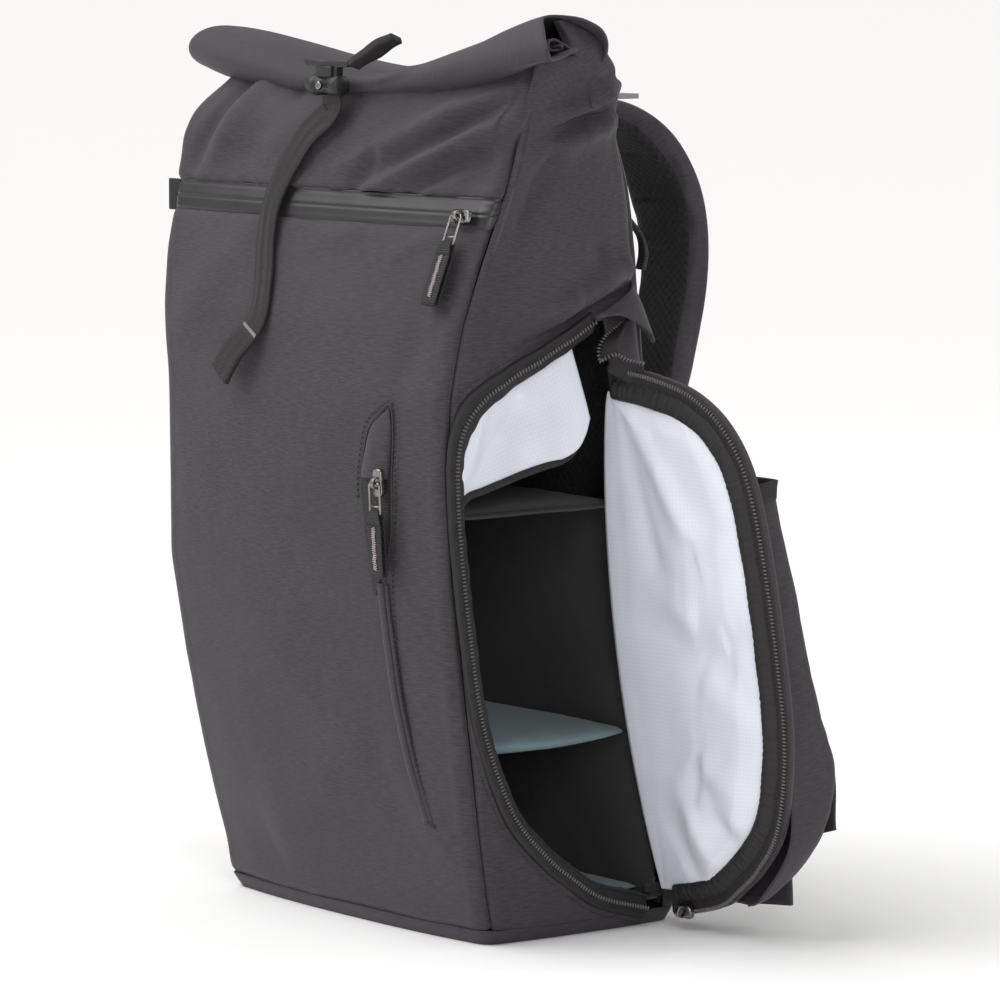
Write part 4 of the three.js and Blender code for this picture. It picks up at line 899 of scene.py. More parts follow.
def row_along(name, paths, facings, spacing, size, material, body="pack"):
    """Small pieces along paths in mm. Size is along, across and off the cloth, in mm."""
    points, edges, turns = [], [], []
    for path, facing in zip(paths, facings):
        first = len(points)
        path = np.asarray(path, float)
        facing = np.broadcast_to(np.asarray(facing, float), path.shape)
        points += (path / 1000).tolist()
        turns += facing.tolist()
        edges += [(first + k, first + k + 1) for k in range(len(path) - 1)]
    mesh = bpy.data.meshes.new(name)
    mesh.from_pydata(points, edges, [])
    layer = mesh.attributes.new("facing", "FLOAT_VECTOR", "POINT")
    layer.data.foreach_set("vector", np.array(turns, float).ravel())
    obj = bpy.data.objects.new(name, mesh)
    bpy.context.collection.objects.link(obj)
    maker = obj.modifiers.new("row", "NODES")
    maker.node_group = row_tree
    maker[row_inputs["Spacing"].identifier] = spacing / 1000
    maker[row_inputs["Size"].identifier] = [v / 1000 for v in size]
    maker[row_inputs["Material"].identifier] = material
    made = bpy.data.meshes.new_from_object(
        obj.evaluated_get(bpy.context.evaluated_depsgraph_get()))
    obj.modifiers.clear()
    obj.data = made
    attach(obj, body)
    return obj


def thread_material(name, color, rough=0.6):
    recipe = Recipe(name)
    place = recipe.node("ShaderNodeTexCoord")
    fuzz = recipe.node("ShaderNodeTexNoise", None, Vector=place.outputs["Object"], Scale=2400.0)
    dark = tuple(v * 0.55 for v in color)
    tone = recipe.blend(fuzz.outputs[0], (*dark, 1), (*color, 1))
    return recipe.surface(tone, recipe.spread(fuzz.outputs[0], 0.3, 0.7, rough - 0.1, rough + 0.1),
                          fuzz.outputs[0], 0.3, 0.0001)


dark_thread = thread_material("dark_thread", (0.006, 0.005, 0.006))
pale_thread = thread_material("pale_thread", (0.40, 0.33, 0.34), 0.5)
# The zip coil is really near-black shiny nylon. This lighter grey is a painted highlight standing in for the pale
# glints along its teeth; the low roughness is its real gloss.
coil = thread_material("zip_coil", (0.115, 0.108, 0.106), 0.28)


def webbing_material(name, dark, light, chevron=3.4, pitch=1.25, rough=0.62):
    """Herringbone webbing: slanted ribs that turn at each upright line."""
    recipe = Recipe(name)
    place = recipe.node("ShaderNodeUVMap", {"uv_map": "cloth"})
    cells = recipe.node("ShaderNodeSeparateXYZ", None, Vector=place.outputs[0])
    slant = cells.outputs[1]
    if chevron:
        side = recipe.maths("PINGPONG", cells.outputs[0], chevron / 1000)
        slant = recipe.maths("ADD", cells.outputs[1], side)
    rib = recipe.maths("PINGPONG", slant, pitch / 2000)
    rib = recipe.maths("MULTIPLY", rib, 2000 / pitch)
    fuzz = recipe.node("ShaderNodeTexNoise", None, Vector=place.outputs[0], Scale=900.0, Detail=3.0)
    tone = recipe.maths("MULTIPLY_ADD", fuzz.outputs[0], 0.5, recipe.maths("MULTIPLY", rib, 0.5))
    color = recipe.blend(tone, (*dark, 1), (*light, 1))
    rough_tone = recipe.spread(fuzz.outputs[0], 0.3, 0.7, rough - 0.08, rough + 0.12)
    return recipe.surface(color, rough_tone, rib, 0.7, 0.0005)


webbing = webbing_material("herringbone_webbing", (0.0030, 0.0024, 0.0025), (0.0215, 0.0175, 0.0178))
ribbon = webbing_material("ribbed_tape", (0.0022, 0.0018, 0.0019), (0.0125, 0.0098, 0.0102), chevron=0.0, pitch=1.5)


# Front zip.
# A coated zip lies across the front between the two front panels. Its coil is on the
# inside, so that it shows as fine ribs through the coating along the middle.
zip_coat = Recipe("coated_zip_tape")
place = zip_coat.node("ShaderNodeUVMap", {"uv_map": "cloth"})
mist = zip_coat.node("ShaderNodeTexNoise", None, Vector=place.outputs[0], Scale=260.0, Detail=5.0)
wear = zip_coat.node("ShaderNodeTexNoise", None, Vector=place.outputs[0], Scale=30.0, Detail=3.0)
shade = zip_coat.maths("MULTIPLY_ADD", wear.outputs[0], 0.6, zip_coat.maths("MULTIPLY", mist.outputs[0], 0.4))
color = zip_coat.blend(shade, (0.0060, 0.0060, 0.0060, 1), (0.0200, 0.0205, 0.0205, 1))
zip_coat.surface(color, zip_coat.spread(wear.outputs[0], 0.3, 0.7, 0.34, 0.5), mist.outputs[0], 0.15, 0.0002)

zip_stops = [("corner", 3, 0.25, 0.999, 5), ("face", 0, 0.0, 1.0, 520), ("corner", 0, 0.001, 0.8, 5)]
zip_grid = outline_grid(np.linspace(zip_height - 0.6, zip_height + zip_width + 0.6, 25), zip_stops)
rise = zip_grid[..., 2] - zip_height - 0.47 * zip_width
run = zip_grid[..., 0]
teeth = 0.32 * np.exp(-(rise / 2.3) ** 4) * (0.5 + 0.5 * np.sin(run * 2 * math.pi / 1.5))
teeth *= np.clip((run + 60) / 60, 0.15, 1)
lift = teeth - 0.9 * np.exp(-(rise / 0.45) ** 2) + 0.5 * np.exp(-(rise / 4.0) ** 4) - 0.7
zip_lip = 8.2 - abs(rise)
lift = lift - 0.8 * np.exp(-(zip_lip / 1.2) ** 2) + ripple(zip_grid[:, ::4], 40, 0.25, seed=60.0).repeat(4, 1)[:, :zip_grid.shape[1]]
front_zip = surface("front_zip_band", zip_grid + normals_of(zip_grid) * lift[..., None], zip_coat.material,
                    thick=0.9)
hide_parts("front_zip_tape")


def front_off(x, height):
    """The way the front cloth faces at a place."""
    step = 3.0
    slope_x = (front_y(x + step, height) - front_y(x - step, height)) / (2 * step)
    slope_z = (front_y(x, height + step) - front_y(x, height - step)) / (2 * step)
    facing = np.array([slope_x, -1.0, slope_z])
    return facing / np.linalg.norm(facing)


def on_front(x, height, off=0.0):
    return np.array([x, front_y(x, height), height]) + front_off(x, height) * off


# Pocket zip.
# An upright pocket on the front closes with a zip under a stitched welt. At its top a
# small flap of cloth hides the parked slider, and the cloth round it is stitched down.
pocket_rows = np.array([
    # across, up
    (0.652, 0.566), (0.625, 0.49), (0.608, 0.43), (0.604, 0.37), (0.612, 0.31), (0.628, 0.25),
    (0.66, 0.19), (0.72, 0.132),
])
pocket_line = spline(pocket_rows * (pack_width / 2, pack_height), 90)
flap_foot = 274.0


def along_front(points, off):
    return np.array([on_front(x, height, off) for x, height in points])


def beside(points, shift):
    run = np.gradient(points, axis=0)
    run /= np.linalg.norm(run, axis=1, keepdims=True)
    shift = np.broadcast_to(shift, len(points))
    return points + np.column_stack([run[:, 1], -run[:, 0]]) * shift[:, None]


def front_band(name, points, profile, material, width_at=None, **more):
    """A band on the front cloth: profile is (aside, off) in mm, from left to right."""
    width_at = np.ones(len(points)) if width_at is None else width_at
    columns = [np.array([on_front(x, height, off) for x, height in beside(points, -aside * width_at)])
               for aside, off in profile]
    return surface(name, np.stack(columns, 1), material, **more)


pocket_rising = pocket_line[::-1]
below_flap = pocket_rising[pocket_rising[:, 1] < 214]
pocket_tape = front_band(
    "pocket_zip_band", below_flap,
    [(-4.5, 0.1), (-4.1, 1.6), (-3.4, 1.9), (-3.0, 1.5), (-2.9, 0.35), (-2.0, 0.3), (-1.1, 0.35), (-1.0, 1.3),
     (-0.4, 1.8), (1.2, 1.9), (3.2, 1.7), (4.2, 1.1), (4.6, 0.1)], pack_cloth, thick=0.5)
pocket_tape.data.materials.append(coil)
for polygon in pocket_tape.data.polygons:
    if polygon.index % 12 in (4, 5):
        polygon.material_index = 1
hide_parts("pocket_zip_tape")
flap_left = spline([(69, flap_foot), (71, 287), (75.5, 301), (84, 309), (93.5, 315)], 40)
flap_right = spline([(93.0, flap_foot), (94.5, 285), (94.8, 300), (93.8, 315)], 40)
flap_share = np.linspace(0, 1, 12)
flap_rows = flap_left[:, None] * (1 - flap_share[None, :, None]) + flap_right[:, None] * flap_share[None, :, None]
flap_off = 0.6 + 5.0 * np.sin(math.pi * flap_share)[None] ** 0.5 * np.clip((314 - flap_rows[..., 1]) / 36, 0.2, 1)
flap_grid = np.array([[on_front(x, height, off) for (x, height), off in zip(row, offs)]
                      for row, offs in zip(flap_rows, flap_off)])
flap = surface("pocket_zip_garage", flap_grid, pack_cloth, thick=0.9)
mouth_left = spline([(74.5, 205), (72.5, 222), (69.5, 242), (68, 262), (68.5, 278)], 60)
mouth_right = spline([(76.5, 205), (82, 216), (88, 232), (91.5, 252), (92.5, 278)], 60)
mouth_share = np.linspace(0, 1, 14)
mouth_rows = mouth_left[:, None] * (1 - mouth_share[None, :, None]) + mouth_right[:, None] * mouth_share[None, :, None]
mouth_grid = np.array([[on_front(x, height, 0.85) for x, height in row] for row in mouth_rows])
mouth = surface("pocket_zip_mouth", mouth_grid, ribbon, thick=0.4)
welt_edge = spline([(67.5, 262), (67.5, 270), (70.2, 288), (74.5, 302.5), (83, 310.5), (93.5, 316.8), (96.0, 300),
                    (95.0, 276), (94.0, 256), (90.5, 233), (85.5, 216), (81.5, 200)], 160)
tube_path = along_front(welt_edge, 0.25)


def tube(name, path, radius, material, body="pack", closed=False, sides=10):
    """A round wire or cord along a path in mm."""
    path = np.asarray(path, float)
    if closed:
        run = np.roll(path, -1, 0) - np.roll(path, 1, 0)
    else:
        run = np.gradient(path, axis=0)
    run /= np.linalg.norm(run, axis=1, keepdims=True)
    guide = np.eye(3)[np.argmin(abs(run).max(0))]
    side = np.cross(run, guide)
    side /= np.linalg.norm(side, axis=1, keepdims=True)
    face = np.cross(run, side)
    turns = np.linspace(0, 2 * math.pi, sides, endpoint=False)[None, :, None]
    grid = path[:, None] + radius * (side[:, None] * np.cos(turns) + face[:, None] * np.sin(turns))
    if closed:
        grid = np.concatenate([grid, grid[:1]])
    made = surface(name, grid, material, body, wrap=True, ends=not closed)
    if closed:
        work = bmesh.new()
        work.from_mesh(made.data)
        bmesh.ops.remove_doubles(work, verts=work.verts, dist=1e-6)
        work.to_mesh(made.data)
        work.free()
    return made


tube("pocket_welt_edge", tube_path, 0.5, pack_cloth, sides=6)
welt_stitches = spline([(64.5, 262), (64.6, 270), (67.4, 289), (72, 304.5), (81.5, 313), (92.5, 319.5)], 60)
right_stitches = spline([(97.0, 318), (99.3, 300), (98.8, 276), (97.6, 254), (94.5, 230), (91.5, 206), (90.2, 180)], 60)
lower_stitches = beside(pocket_line[pocket_line[:, 1] < 182], -5.6)
stitch_paths = [along_front(line, 0.95) for line in (welt_stitches, right_stitches, lower_stitches)]
row_along("pocket_stitches", stitch_paths, [(0, -1, 0)] * 3, 3.4, (2.3, 0.95, 0.8), dark_thread)
row_along("pocket_zip_coil", [along_front(beside(below_flap[:40], -2.0), 0.75)], [(0, -1, 0)], 1.5,
          (0.8, 1.9, 0.9), coil)
foot_tack = along_front(np.array([(98.5, 73.5), (105.5, 70.5)]), 1.5)
row_along("pocket_bartack", [foot_tack], [(0, -1, 0)], 1.0, (0.7, 4.0, 0.8), dark_thread)


# Zip pulls.
# Each slider is cast metal with a bridge. A bent wire loop swings in the bridge, and a
# folded tag of ribbed webbing hangs on the wire, with a pale bar of stitches down it.
def metal_material(name, dark, light, rough):
    recipe = Recipe(name)
    place = recipe.node("ShaderNodeTexCoord")
    mist = recipe.node("ShaderNodeTexNoise", None, Vector=place.outputs["Object"], Scale=900.0, Detail=4.0)
    rub = recipe.node("ShaderNodeTexNoise", None, Vector=place.outputs["Object"], Scale=160.0, Detail=2.0)
    color = recipe.blend(rub.outputs[0], (*dark, 1), (*light, 1))
    return recipe.surface(color, recipe.spread(mist.outputs[0], 0.3, 0.7, rough - 0.07, rough + 0.1),
                          mist.outputs[0], 0.06, 0.0001, Metallic=1.0)


nickel = metal_material("dark_nickel", (0.13, 0.125, 0.12), (0.34, 0.33, 0.31), 0.26)


def turned(points, origin, angle):
    """Places in mm turned about X and moved to an origin."""
    points = np.asarray(points, float)
    cos, sin = math.cos(angle), math.sin(angle)
    y = points[..., 1] * cos - points[..., 2] * sin
    z = points[..., 1] * sin + points[..., 2] * cos
    return np.stack([points[..., 0], y, z], -1) + np.asarray(origin, float)


def plate(name, outline, low, high, material, body="pack", origin=(0, 0, 0), angle=0.0, soft=0.4):
    """A part cut to an outline of x and z between two places along y, with soft edges."""
    count = len(outline)
    near = [(x, low, z) for x, z in outline]
    far = [(x, high, z) for x, z in outline]
    points = turned(near + far, origin, angle) / 1000
    faces = [tuple(range(count)), tuple(range(2 * count - 1, count - 1, -1))]
    faces += [(k, count + k, count + (k + 1) % count, (k + 1) % count) for k in range(count)]
    mesh = bpy.data.meshes.new(name)
    mesh.from_pydata(points.tolist(), [], faces)
    obj = bpy.data.objects.new(name, mesh)
    bpy.context.collection.objects.link(obj)
    edge = obj.modifiers.new("edge", "BEVEL")
    edge.width, edge.segments, edge.limit_method = soft / 1000, 3, "ANGLE"
    finish(obj, material, body)
    mesh.shade_smooth()
    mesh.set_sharp_from_angle(angle=math.radians(40))
    return obj


def oval(half_x, half_z, power=0.6, count=28, waist=0.0):
    """A rounded outline, narrowed at its middle by waist."""
    turns = np.linspace(0, 2 * math.pi, count, endpoint=False)
    x = half_x * np.sign(np.cos(turns)) * abs(np.cos(turns)) ** power
    z = half_z * np.sign(np.sin(turns)) * abs(np.sin(turns)) ** power
    return np.column_stack([x, z * (1 - waist * np.exp(-(x / half_x * 2.2) ** 2))])


band_section = [(1, -0.5), (1, 0.5), (0.95, 1), (0.5, 1), (0, 1), (-0.5, 1), (-0.95, 1), (-1, 0.5), (-1, -0.5),
                (-0.95, -1), (-0.5, -1), (0, -1), (0.5, -1), (0.95, -1)]


def slider(name, node, origin, angle, lying):
    """A slider: a waisted body under a bridge of bent metal."""
    long, wide = (8.3, 4.4) if lying else (4.4, 8.3)
    outline = oval(long, wide, 0.55, waist=0.16 if lying else 0.0)
    if not lying:
        outline = oval(wide, long, 0.55, waist=0.16)[:, ::-1][::-1]
    body = plate(name, outline, -3.9, -0.4, nickel, origin=origin, angle=angle, soft=0.9)
    arc = np.linspace(-0.15, math.pi + 0.15, 22)
    bridge_path = [(0, -3.2 - 4.2 * math.sin(a), 3.3 * math.cos(a)) for a in arc]
    line = turned(bridge_path, origin, angle)
    grid = swept(line, [3.2] * 22, [1.1] * 22, band_section, (1, 0, 0), 44)
    bridge = surface(f"{name}_bridge", grid, nickel, wrap=True, ends=True)
    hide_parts(node)
    return body


def pull_with_tag(prefix, origin, angle, body):
    """The wire loop and its tag, hanging from the bridge at origin."""
    half, drop, bend = 4.9, 18.2, 2.0
    corner = np.linspace(0, math.pi / 2, 6)
    path = []
    for cx, cz, start in ((half - bend, -bend, 0.0), (-half + bend, -bend, math.pi / 2)):
        for a in corner:
            path.append((cx + bend * math.cos(a + start), 0.0, cz + bend * math.sin(a + start)))
    for cx, cz, start in ((-half + bend, -drop + bend, math.pi), (half - bend, -drop + bend, 1.5 * math.pi)):
        for a in corner:
            path.append((cx + bend * math.cos(a + start), 0.0, cz + bend * math.sin(a + start)))
    wire = tube(f"{prefix}_wire_pull", turned(path, origin, angle), 0.75, nickel, body, closed=True)
    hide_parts(f"{prefix}_pull")
    bar = tube(f"{prefix}_wire_bar", turned([(-half, -0.1, -13.6), (0, -0.1, -13.7), (half, -0.1, -13.6)],
                                           origin, angle), 0.6, nickel, body)
    # The tag wraps the lower bar of the wire and lies double below it.
    rows = [(-22.5, 1.25), (-55.2, 1.3)]
    loop = [(0, 1.25, -55.0), (0, 1.45, -40), (0, 1.35, -26), (0, 1.5, -21), (0, 1.3, -17.8), (0, 0.0, -16.2),
            (0, -1.3, -17.8), (0, -1.6, -21), (0, -1.45, -26), (0, -1.55, -40), (0, -1.3, -55.0)]
    widths = [13, 13, 13, 11.0, 8.6, 8.4, 8.6, 11.0, 13, 13, 13]
    line = turned(loop, origin, angle)
    grid = swept(line, widths, [1.2] * 11, band_section, (1, 0, 0), 80)
    tag = surface(f"{prefix}_tag", grid, ribbon, body, wrap=True, ends=True)
    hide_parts(f"{prefix}_pull_tag")
    wavy = [(0.5 * math.sin(k * 0.9), -2.35, -26 - k) for k in range(25)]
    row_along(f"{prefix}_tag_stitches", [turned(wavy, origin, angle)],
              [turned([(0, -1, 0)], (0, 0, 0), angle)[0]], 0.95, (0.85, 4.0, 0.8), pale_thread, body)
    fold = [(-6, -2.2, -24.4), (6, -2.2, -24.4)]
    row_along(f"{prefix}_tag_fold_stitches", [turned(fold, origin, angle)],
              [turned([(0, -1, 0)], (0, 0, 0), angle)[0]], 1.6, (1.2, 0.5, 0.4), dark_thread, body)


def front_lean(x, low, high):
    return math.atan2(front_y(x, low) - front_y(x, high), high - low)


front_pull_pivot = np.array((120.06, -88.26, 427.0))
pocket_pull_pivot = np.array((88.46, -124.24, 271.72))
for prefix, pivot, lying in (("front_zip", front_pull_pivot, True), ("pocket_zip", pocket_pull_pivot, False)):
    reach = 4.5 if lying else 8.5
    lean = front_lean(pivot[0], pivot[2] - reach, pivot[2] + reach)
    seat = turned([(0, 5.5, 0)], pivot, lean)[0]
    slider(f"{prefix}_slider_body", f"{prefix}_slider", seat, lean, lying)
    hang = front_lean(pivot[0], pivot[2] - 59, pivot[2])
    pull_with_tag(prefix, pivot, hang, f"{prefix}_pull_body")

# The tab at the left end of the front zip is a short fold of webbing caught in the seam.
tab_low, tab_high = (np.array(v) * 1000 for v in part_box("front_zip_end_tab"))
tab_middle = (tab_low + tab_high) / 2
tab_path = [(tab_high[0] + 1.5, tab_middle[1] + 1.0, tab_middle[2]), (tab_low[0] + 3, tab_middle[1] + 1.2, tab_middle[2]),
            (tab_low[0] + 0.6, tab_middle[1], tab_middle[2]), (tab_low[0] + 3, tab_middle[1] - 1.2, tab_middle[2]),
            (tab_high[0] + 1.5, tab_middle[1] - 1.0, tab_middle[2])]
tab = surface("front_zip_tab", swept(tab_path, [19] * 5, [1.1] * 5, band_section, (0, 0, 1), 30), ribbon,
              wrap=True, ends=True)
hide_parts("front_zip_end_tab")


# Closure.
# A strap of herringbone webbing runs from the hook over the front. Its end is folded
# and tacked into a tab. The hook is moulded and turns on a bar under a round pin.
def moulded_material(name, dark, light):
    recipe = Recipe(name)
    place = recipe.node("ShaderNodeTexCoord")
    grain = recipe.node("ShaderNodeTexNoise", None, Vector=place.outputs["Object"], Scale=1500.0, Detail=2.0)
    rub = recipe.node("ShaderNodeTexNoise", None, Vector=place.outputs["Object"], Scale=90.0, Detail=3.0)
    color = recipe.blend(rub.outputs[0], (*dark, 1), (*light, 1))
    return recipe.surface(color, recipe.spread(rub.outputs[0], 0.3, 0.7, 0.34, 0.5), grain.outputs[0], 0.25, 0.0001)


moulded = moulded_material("moulded_black", (0.0045, 0.0045, 0.005), (0.014, 0.014, 0.015))
pale_moulded = moulded_material("moulded_grey", (0.17, 0.17, 0.165), (0.30, 0.30, 0.29))

hook_height = pack_height - 48.0
closure_drop, strap_wide = 172.0, 20.0
closure_rows = [
    # across, down, off
    (-0.07, 0.095, 0.3), (-0.15, 0.139, 0.28), (-0.23, 0.193, 0.2), (-0.32, 0.307, 0.18), (-0.35, 0.421, 0.2),
    (-0.33, 0.545, 0.14), (-0.285, 0.687, 0.1), (-0.275, 0.814, 0.17), (-0.36, 0.919, 0.5), (-0.435, 1.001, 0.55),
]
hook_y = front_y(-15, hook_height - 6.5) - 7.1
closure_path, closure_across = [], []
flat_places = np.array([(a * pack_width / 2, hook_height - d * closure_drop) for a, d, _ in closure_rows])
flat_runs = np.gradient(flat_places, axis=0)
for (x, height), (_, _, off), run in zip(flat_places, closure_rows, flat_runs):
    run = run / np.linalg.norm(run)
    reach = strap_wide / 2
    rise = (front_y(x - run[1] * reach, height + run[0] * reach)
            - front_y(x + run[1] * reach, height - run[0] * reach))
    closure_path.append((x, front_y(x, height) - off * strap_wide, height))
    closure_across.append((-run[1], rise / 2 / reach, run[0]))
closure_path.insert(0, (closure_path[0][0], hook_y - 0.5, hook_height - 10))
closure_path.insert(0, (closure_path[0][0], hook_y - 1.5, hook_height - 5.5))
closure_across = [(1, 0, 0)] * 2 + closure_across
closure_across[2] = (1, 0, 0)
thicks = [1.8] * 10 + [3.4, 3.6]
grid = swept(closure_path, [strap_wide * wide for wide in [0.9] * 6 + [0.84, 0.8, 0.8, 0.82, 0.9, 0.92]], thicks, band_section, closure_across, 170)
strap_lift = ripple(grid, 26, 0.45, (1, 1, 1), 71.0)
closure = surface("closure_webbing", grid + strap_lift[..., None] * np.array((0.2, -1, 0.2)), webbing, wrap=True,
                  ends=True)
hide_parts("closure_strap")
tack_row = grid[142]
left_edge, right_edge = tack_row[0], tack_row[8]
tack_face = np.array((0.2, -1, 0.15))
tack_line = [left_edge * (1 - s) + right_edge * s + tack_face * 1.9 for s in np.linspace(0.06, 0.94, 8)]
row_along("closure_bartack", [tack_line], [tack_face], 0.9, (0.7, 3.0, 0.8), pale_thread)

hook_places = turned([(-15, 0, 0)], (0, hook_y, hook_height), 0)[0]
barrel_turns = np.linspace(0, 2 * math.pi, 32, endpoint=False)
barrel_profile = [(-30, 4.6), (-29.2, 6.0), (-26, 6.4), (-22, 6.4), (-21.4, 5.4), (-9.6, 5.4), (-9, 6.4), (-4, 6.4),
                  (-0.8, 6.0), (0, 4.6)]
barrel_grid = np.array([[(x, hook_y + r * math.cos(a), hook_height + r * math.sin(a)) for a in barrel_turns]
                        for x, r in barrel_profile])
hook = surface("hook_barrel", barrel_grid, moulded, wrap=True, ends=True)
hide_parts("hook_buckle")
lever_outline = [(-35.2, 12.6), (-34.2, 11.4), (-24, 10.8), (-23, 4), (-3, 4), (-2.6, 10.6), (7.6, 11.2), (8.8, 12.4),
                 (8.4, 14.6), (6.6, 15.4), (-10, 14.6), (-16, 14.2), (-33.6, 15.2), (-35, 14.6)]
lever = plate("hook_lever", lever_outline, -2.8, 2.8, moulded, origin=(0, hook_y, hook_height), soft=1.0)
rib = plate("hook_lever_rib", [(-20, 5), (-6, 5), (-6, 11.5), (-20, 11.5)], -4.6, -2.0, moulded,
            origin=(0, hook_y, hook_height), soft=0.8)
pin_turns = np.linspace(0, 2 * math.pi, 24, endpoint=False)
pin_profile = [(-6.7, 2.6), (-8.2, 2.6), (-8.8, 2.2), (-9.0, 1.4), (-8.8, 0.4)]
pin_grid = np.array([[(-13.2 + r * math.sin(a), hook_y + y, hook_height + r * math.cos(a)) for a in pin_turns]
                     for y, r in pin_profile])
pin = surface("hook_round_pin", pin_grid, nickel, wrap=True, ends=True)
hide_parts("hook_pin")
loop_path = [(10.8, hook_y, hook_height + 12), (15, hook_y + 2, hook_height + 15.5), (21.8, hook_y + 6, hook_height + 20),
             (28, hook_y + 10, hook_height + 25), (34.8, hook_y + 14, hook_height + 28.5)]
loop_grid = swept(loop_path, [9, 11, 13, 13, 12.5], [3.4, 3.8, 4.4, 4.4, 3.8], band_section, (0.1, 1, 0), 40)
loop = surface("hook_webbing_loop", loop_grid, webbing, wrap=True, ends=True)
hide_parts("hook_loop")


# Opening.
# The whole right side opens. A dark tape with a coil at its inner edge is sewn round
# the opening, and a white ripstop sheet closes the room above the camera insert.
def opening_places(margin, count=240):
    """Places along the opening's free edge, from its foot to its top."""
    edge = spline([(out * opening_reach, up * door_height) for up, out in door_rows], count)
    run = np.gradient(edge, axis=0)
    run /= np.linalg.norm(run, axis=1, keepdims=True)
    moved = edge - np.column_stack([-run[:, 1], run[:, 0]]) * margin
    height = opening_foot + moved[:, 1] * opening_height / door_height
    return slumped(np.column_stack([hinge_foot - hinge_lean * height - moved[:, 0], height]))


def on_right(places, off):
    return np.array([(right_x(y, height, off), y, height) for y, height in places])


binding_cloth = woven("binding_tape", (0.0034, 0.0028, 0.0030), (0.0165, 0.0135, 0.0140), pitch=0.0007, slub=2.0,
                      rough=0.66, bump=0.5, depth=0.0003)
tape_profile = [(-5.5, -2.4), (-4.0, -1.6), (-2.0, -0.6), (0.0, 0.3), (1.2, 1.1), (2.4, 1.5), (4.6, 1.8), (6.4, 1.8),
                (7.6, 1.4), (8.4, 0.2)]
opening_run = np.linspace(0, 1, 240)
tape_ripple = 0.3 * np.sin(opening_run * 180) + 0.25 * np.sin(opening_run * 67 + 1)
tape_columns = []
for margin, off in tape_profile:
    column = on_right(opening_places(margin), off)
    column[:, 0] += tape_ripple * (0.3 + 0.1 * abs(margin - 1.5)) * (0.4 if margin > 6 else 1)
    tape_columns.append(column)
opening_tape = surface("opening_zip_band", np.stack(tape_columns[::-1], 1), binding_cloth, thick=0.7)
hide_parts("opening_zip_tape")
row_along("opening_coil", [on_right(opening_places(1.5, 400), 1.9)], [(1, 0, 0)], 2.2, (1.25, 3.2, 1.8), coil)
row_along("opening_stitches", [on_right(opening_places(5.2, 400), 1.95), on_right(opening_places(11.5, 400), 0.5)],
          [(1, 0, 0)] * 2, 3.2, (2.2, 0.55, 0.4), dark_thread)

ripstop = Recipe("white_ripstop")
place = ripstop.node("ShaderNodeUVMap", {"uv_map": "cloth"})
cells = ripstop.node("ShaderNodeSeparateXYZ", None, Vector=place.outputs[0])
lines = []
for axis in (0, 1):
    wave = ripstop.maths("PINGPONG", cells.outputs[axis], 0.00125)
    lines.append(ripstop.spread(wave, 0.0, 0.00028, 1.0, 0.0))
grid_lines = ripstop.maths("MAXIMUM", lines[0], lines[1])
weave_fine = ripstop.node("ShaderNodeGroup", {"node_tree": weave.tree}, Vector=place.outputs[0], Pitch=0.0003,
                          Slub=3.0)
clouds = ripstop.spread(weave_fine.outputs["Clouds"], 0.3, 0.7)
tone = ripstop.blend(clouds, (0.62, 0.645, 0.72, 1), (0.72, 0.745, 0.81, 1))
tone = ripstop.blend(ripstop.maths("MULTIPLY", grid_lines, 0.45), tone, (0.84, 0.85, 0.89, 1))
relief = ripstop.maths("MULTIPLY_ADD", weave_fine.outputs["Threads"], 0.25, grid_lines)
ripstop.surface(tone, ripstop.spread(clouds, 0.0, 1.0, 0.42, 0.55), relief, 0.4, 0.00015, Sheen_Weight=0.1)
ripstop = ripstop.material

# The sheet's lower edge sags towards the front and is bound in black.
sheet_low = spline([(-101, 258.5), (-97, 263), (-90, 267.5), (-80, 270), (-60, 275.5), (-38, 281), (-24, 283.5), (-13, 288.5),
                    (-7, 297), (-4, 306)], 60)
sheet_top = spline([(-101, 296), (-97, 318), (-84, 332), (-60, 346), (-40, 354), (-26, 359), (-19, 361)], 60)
rise_share = np.linspace(0, 1, 44)[:, None, None]
sheet_rows = sheet_low[None] * (1 - rise_share) + sheet_top[None] * rise_share
first = np.array([[right_x(y, height, -3.2) for y, height in row] for row in sheet_rows])
lining_grid = np.concatenate([first[..., None], sheet_rows], -1)
across, height = lining_grid[..., 1], lining_grid[..., 2]
puffs = ripple(lining_grid, 38, 2.4, (1, 1, 0.6), 91.0, 2)
sag = -7.0 * np.sin(np.clip((across + 101) / 97, 0, 1) * math.pi) * np.sin(np.linspace(0.1, 0.75, 44) * math.pi)[:, None]
for start, end, depth, width in (((-104, 262), (-70, 330), 2.2, 6), ((-98, 262), (-50, 318), -2.4, 5),
                                 ((-90, 268), (-78, 335), 1.8, 5), ((-60, 274), (-30, 345), -2.0, 9),
                                 ((-112, 262), (-96, 320), -2.6, 5)):
    puffs = puffs + ridge(across, height, start, end, depth, width, tail=0.25)
lining_grid[..., 0] += puffs * 0.8 + sag
upper_sheet = surface("upper_room_sheet", lining_grid, ripstop, thick=0.5)
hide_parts("upper_lining")
low_edge = lining_grid[0] + np.array((0.3, 0, -1.4))
low_edge = low_edge[:50] - np.linspace(0, 1, 50)[:, None] ** 6 * np.array((5.0, 0, 0))
tube("upper_sheet_binding", low_edge, 2.3, binding_cloth, sides=10)


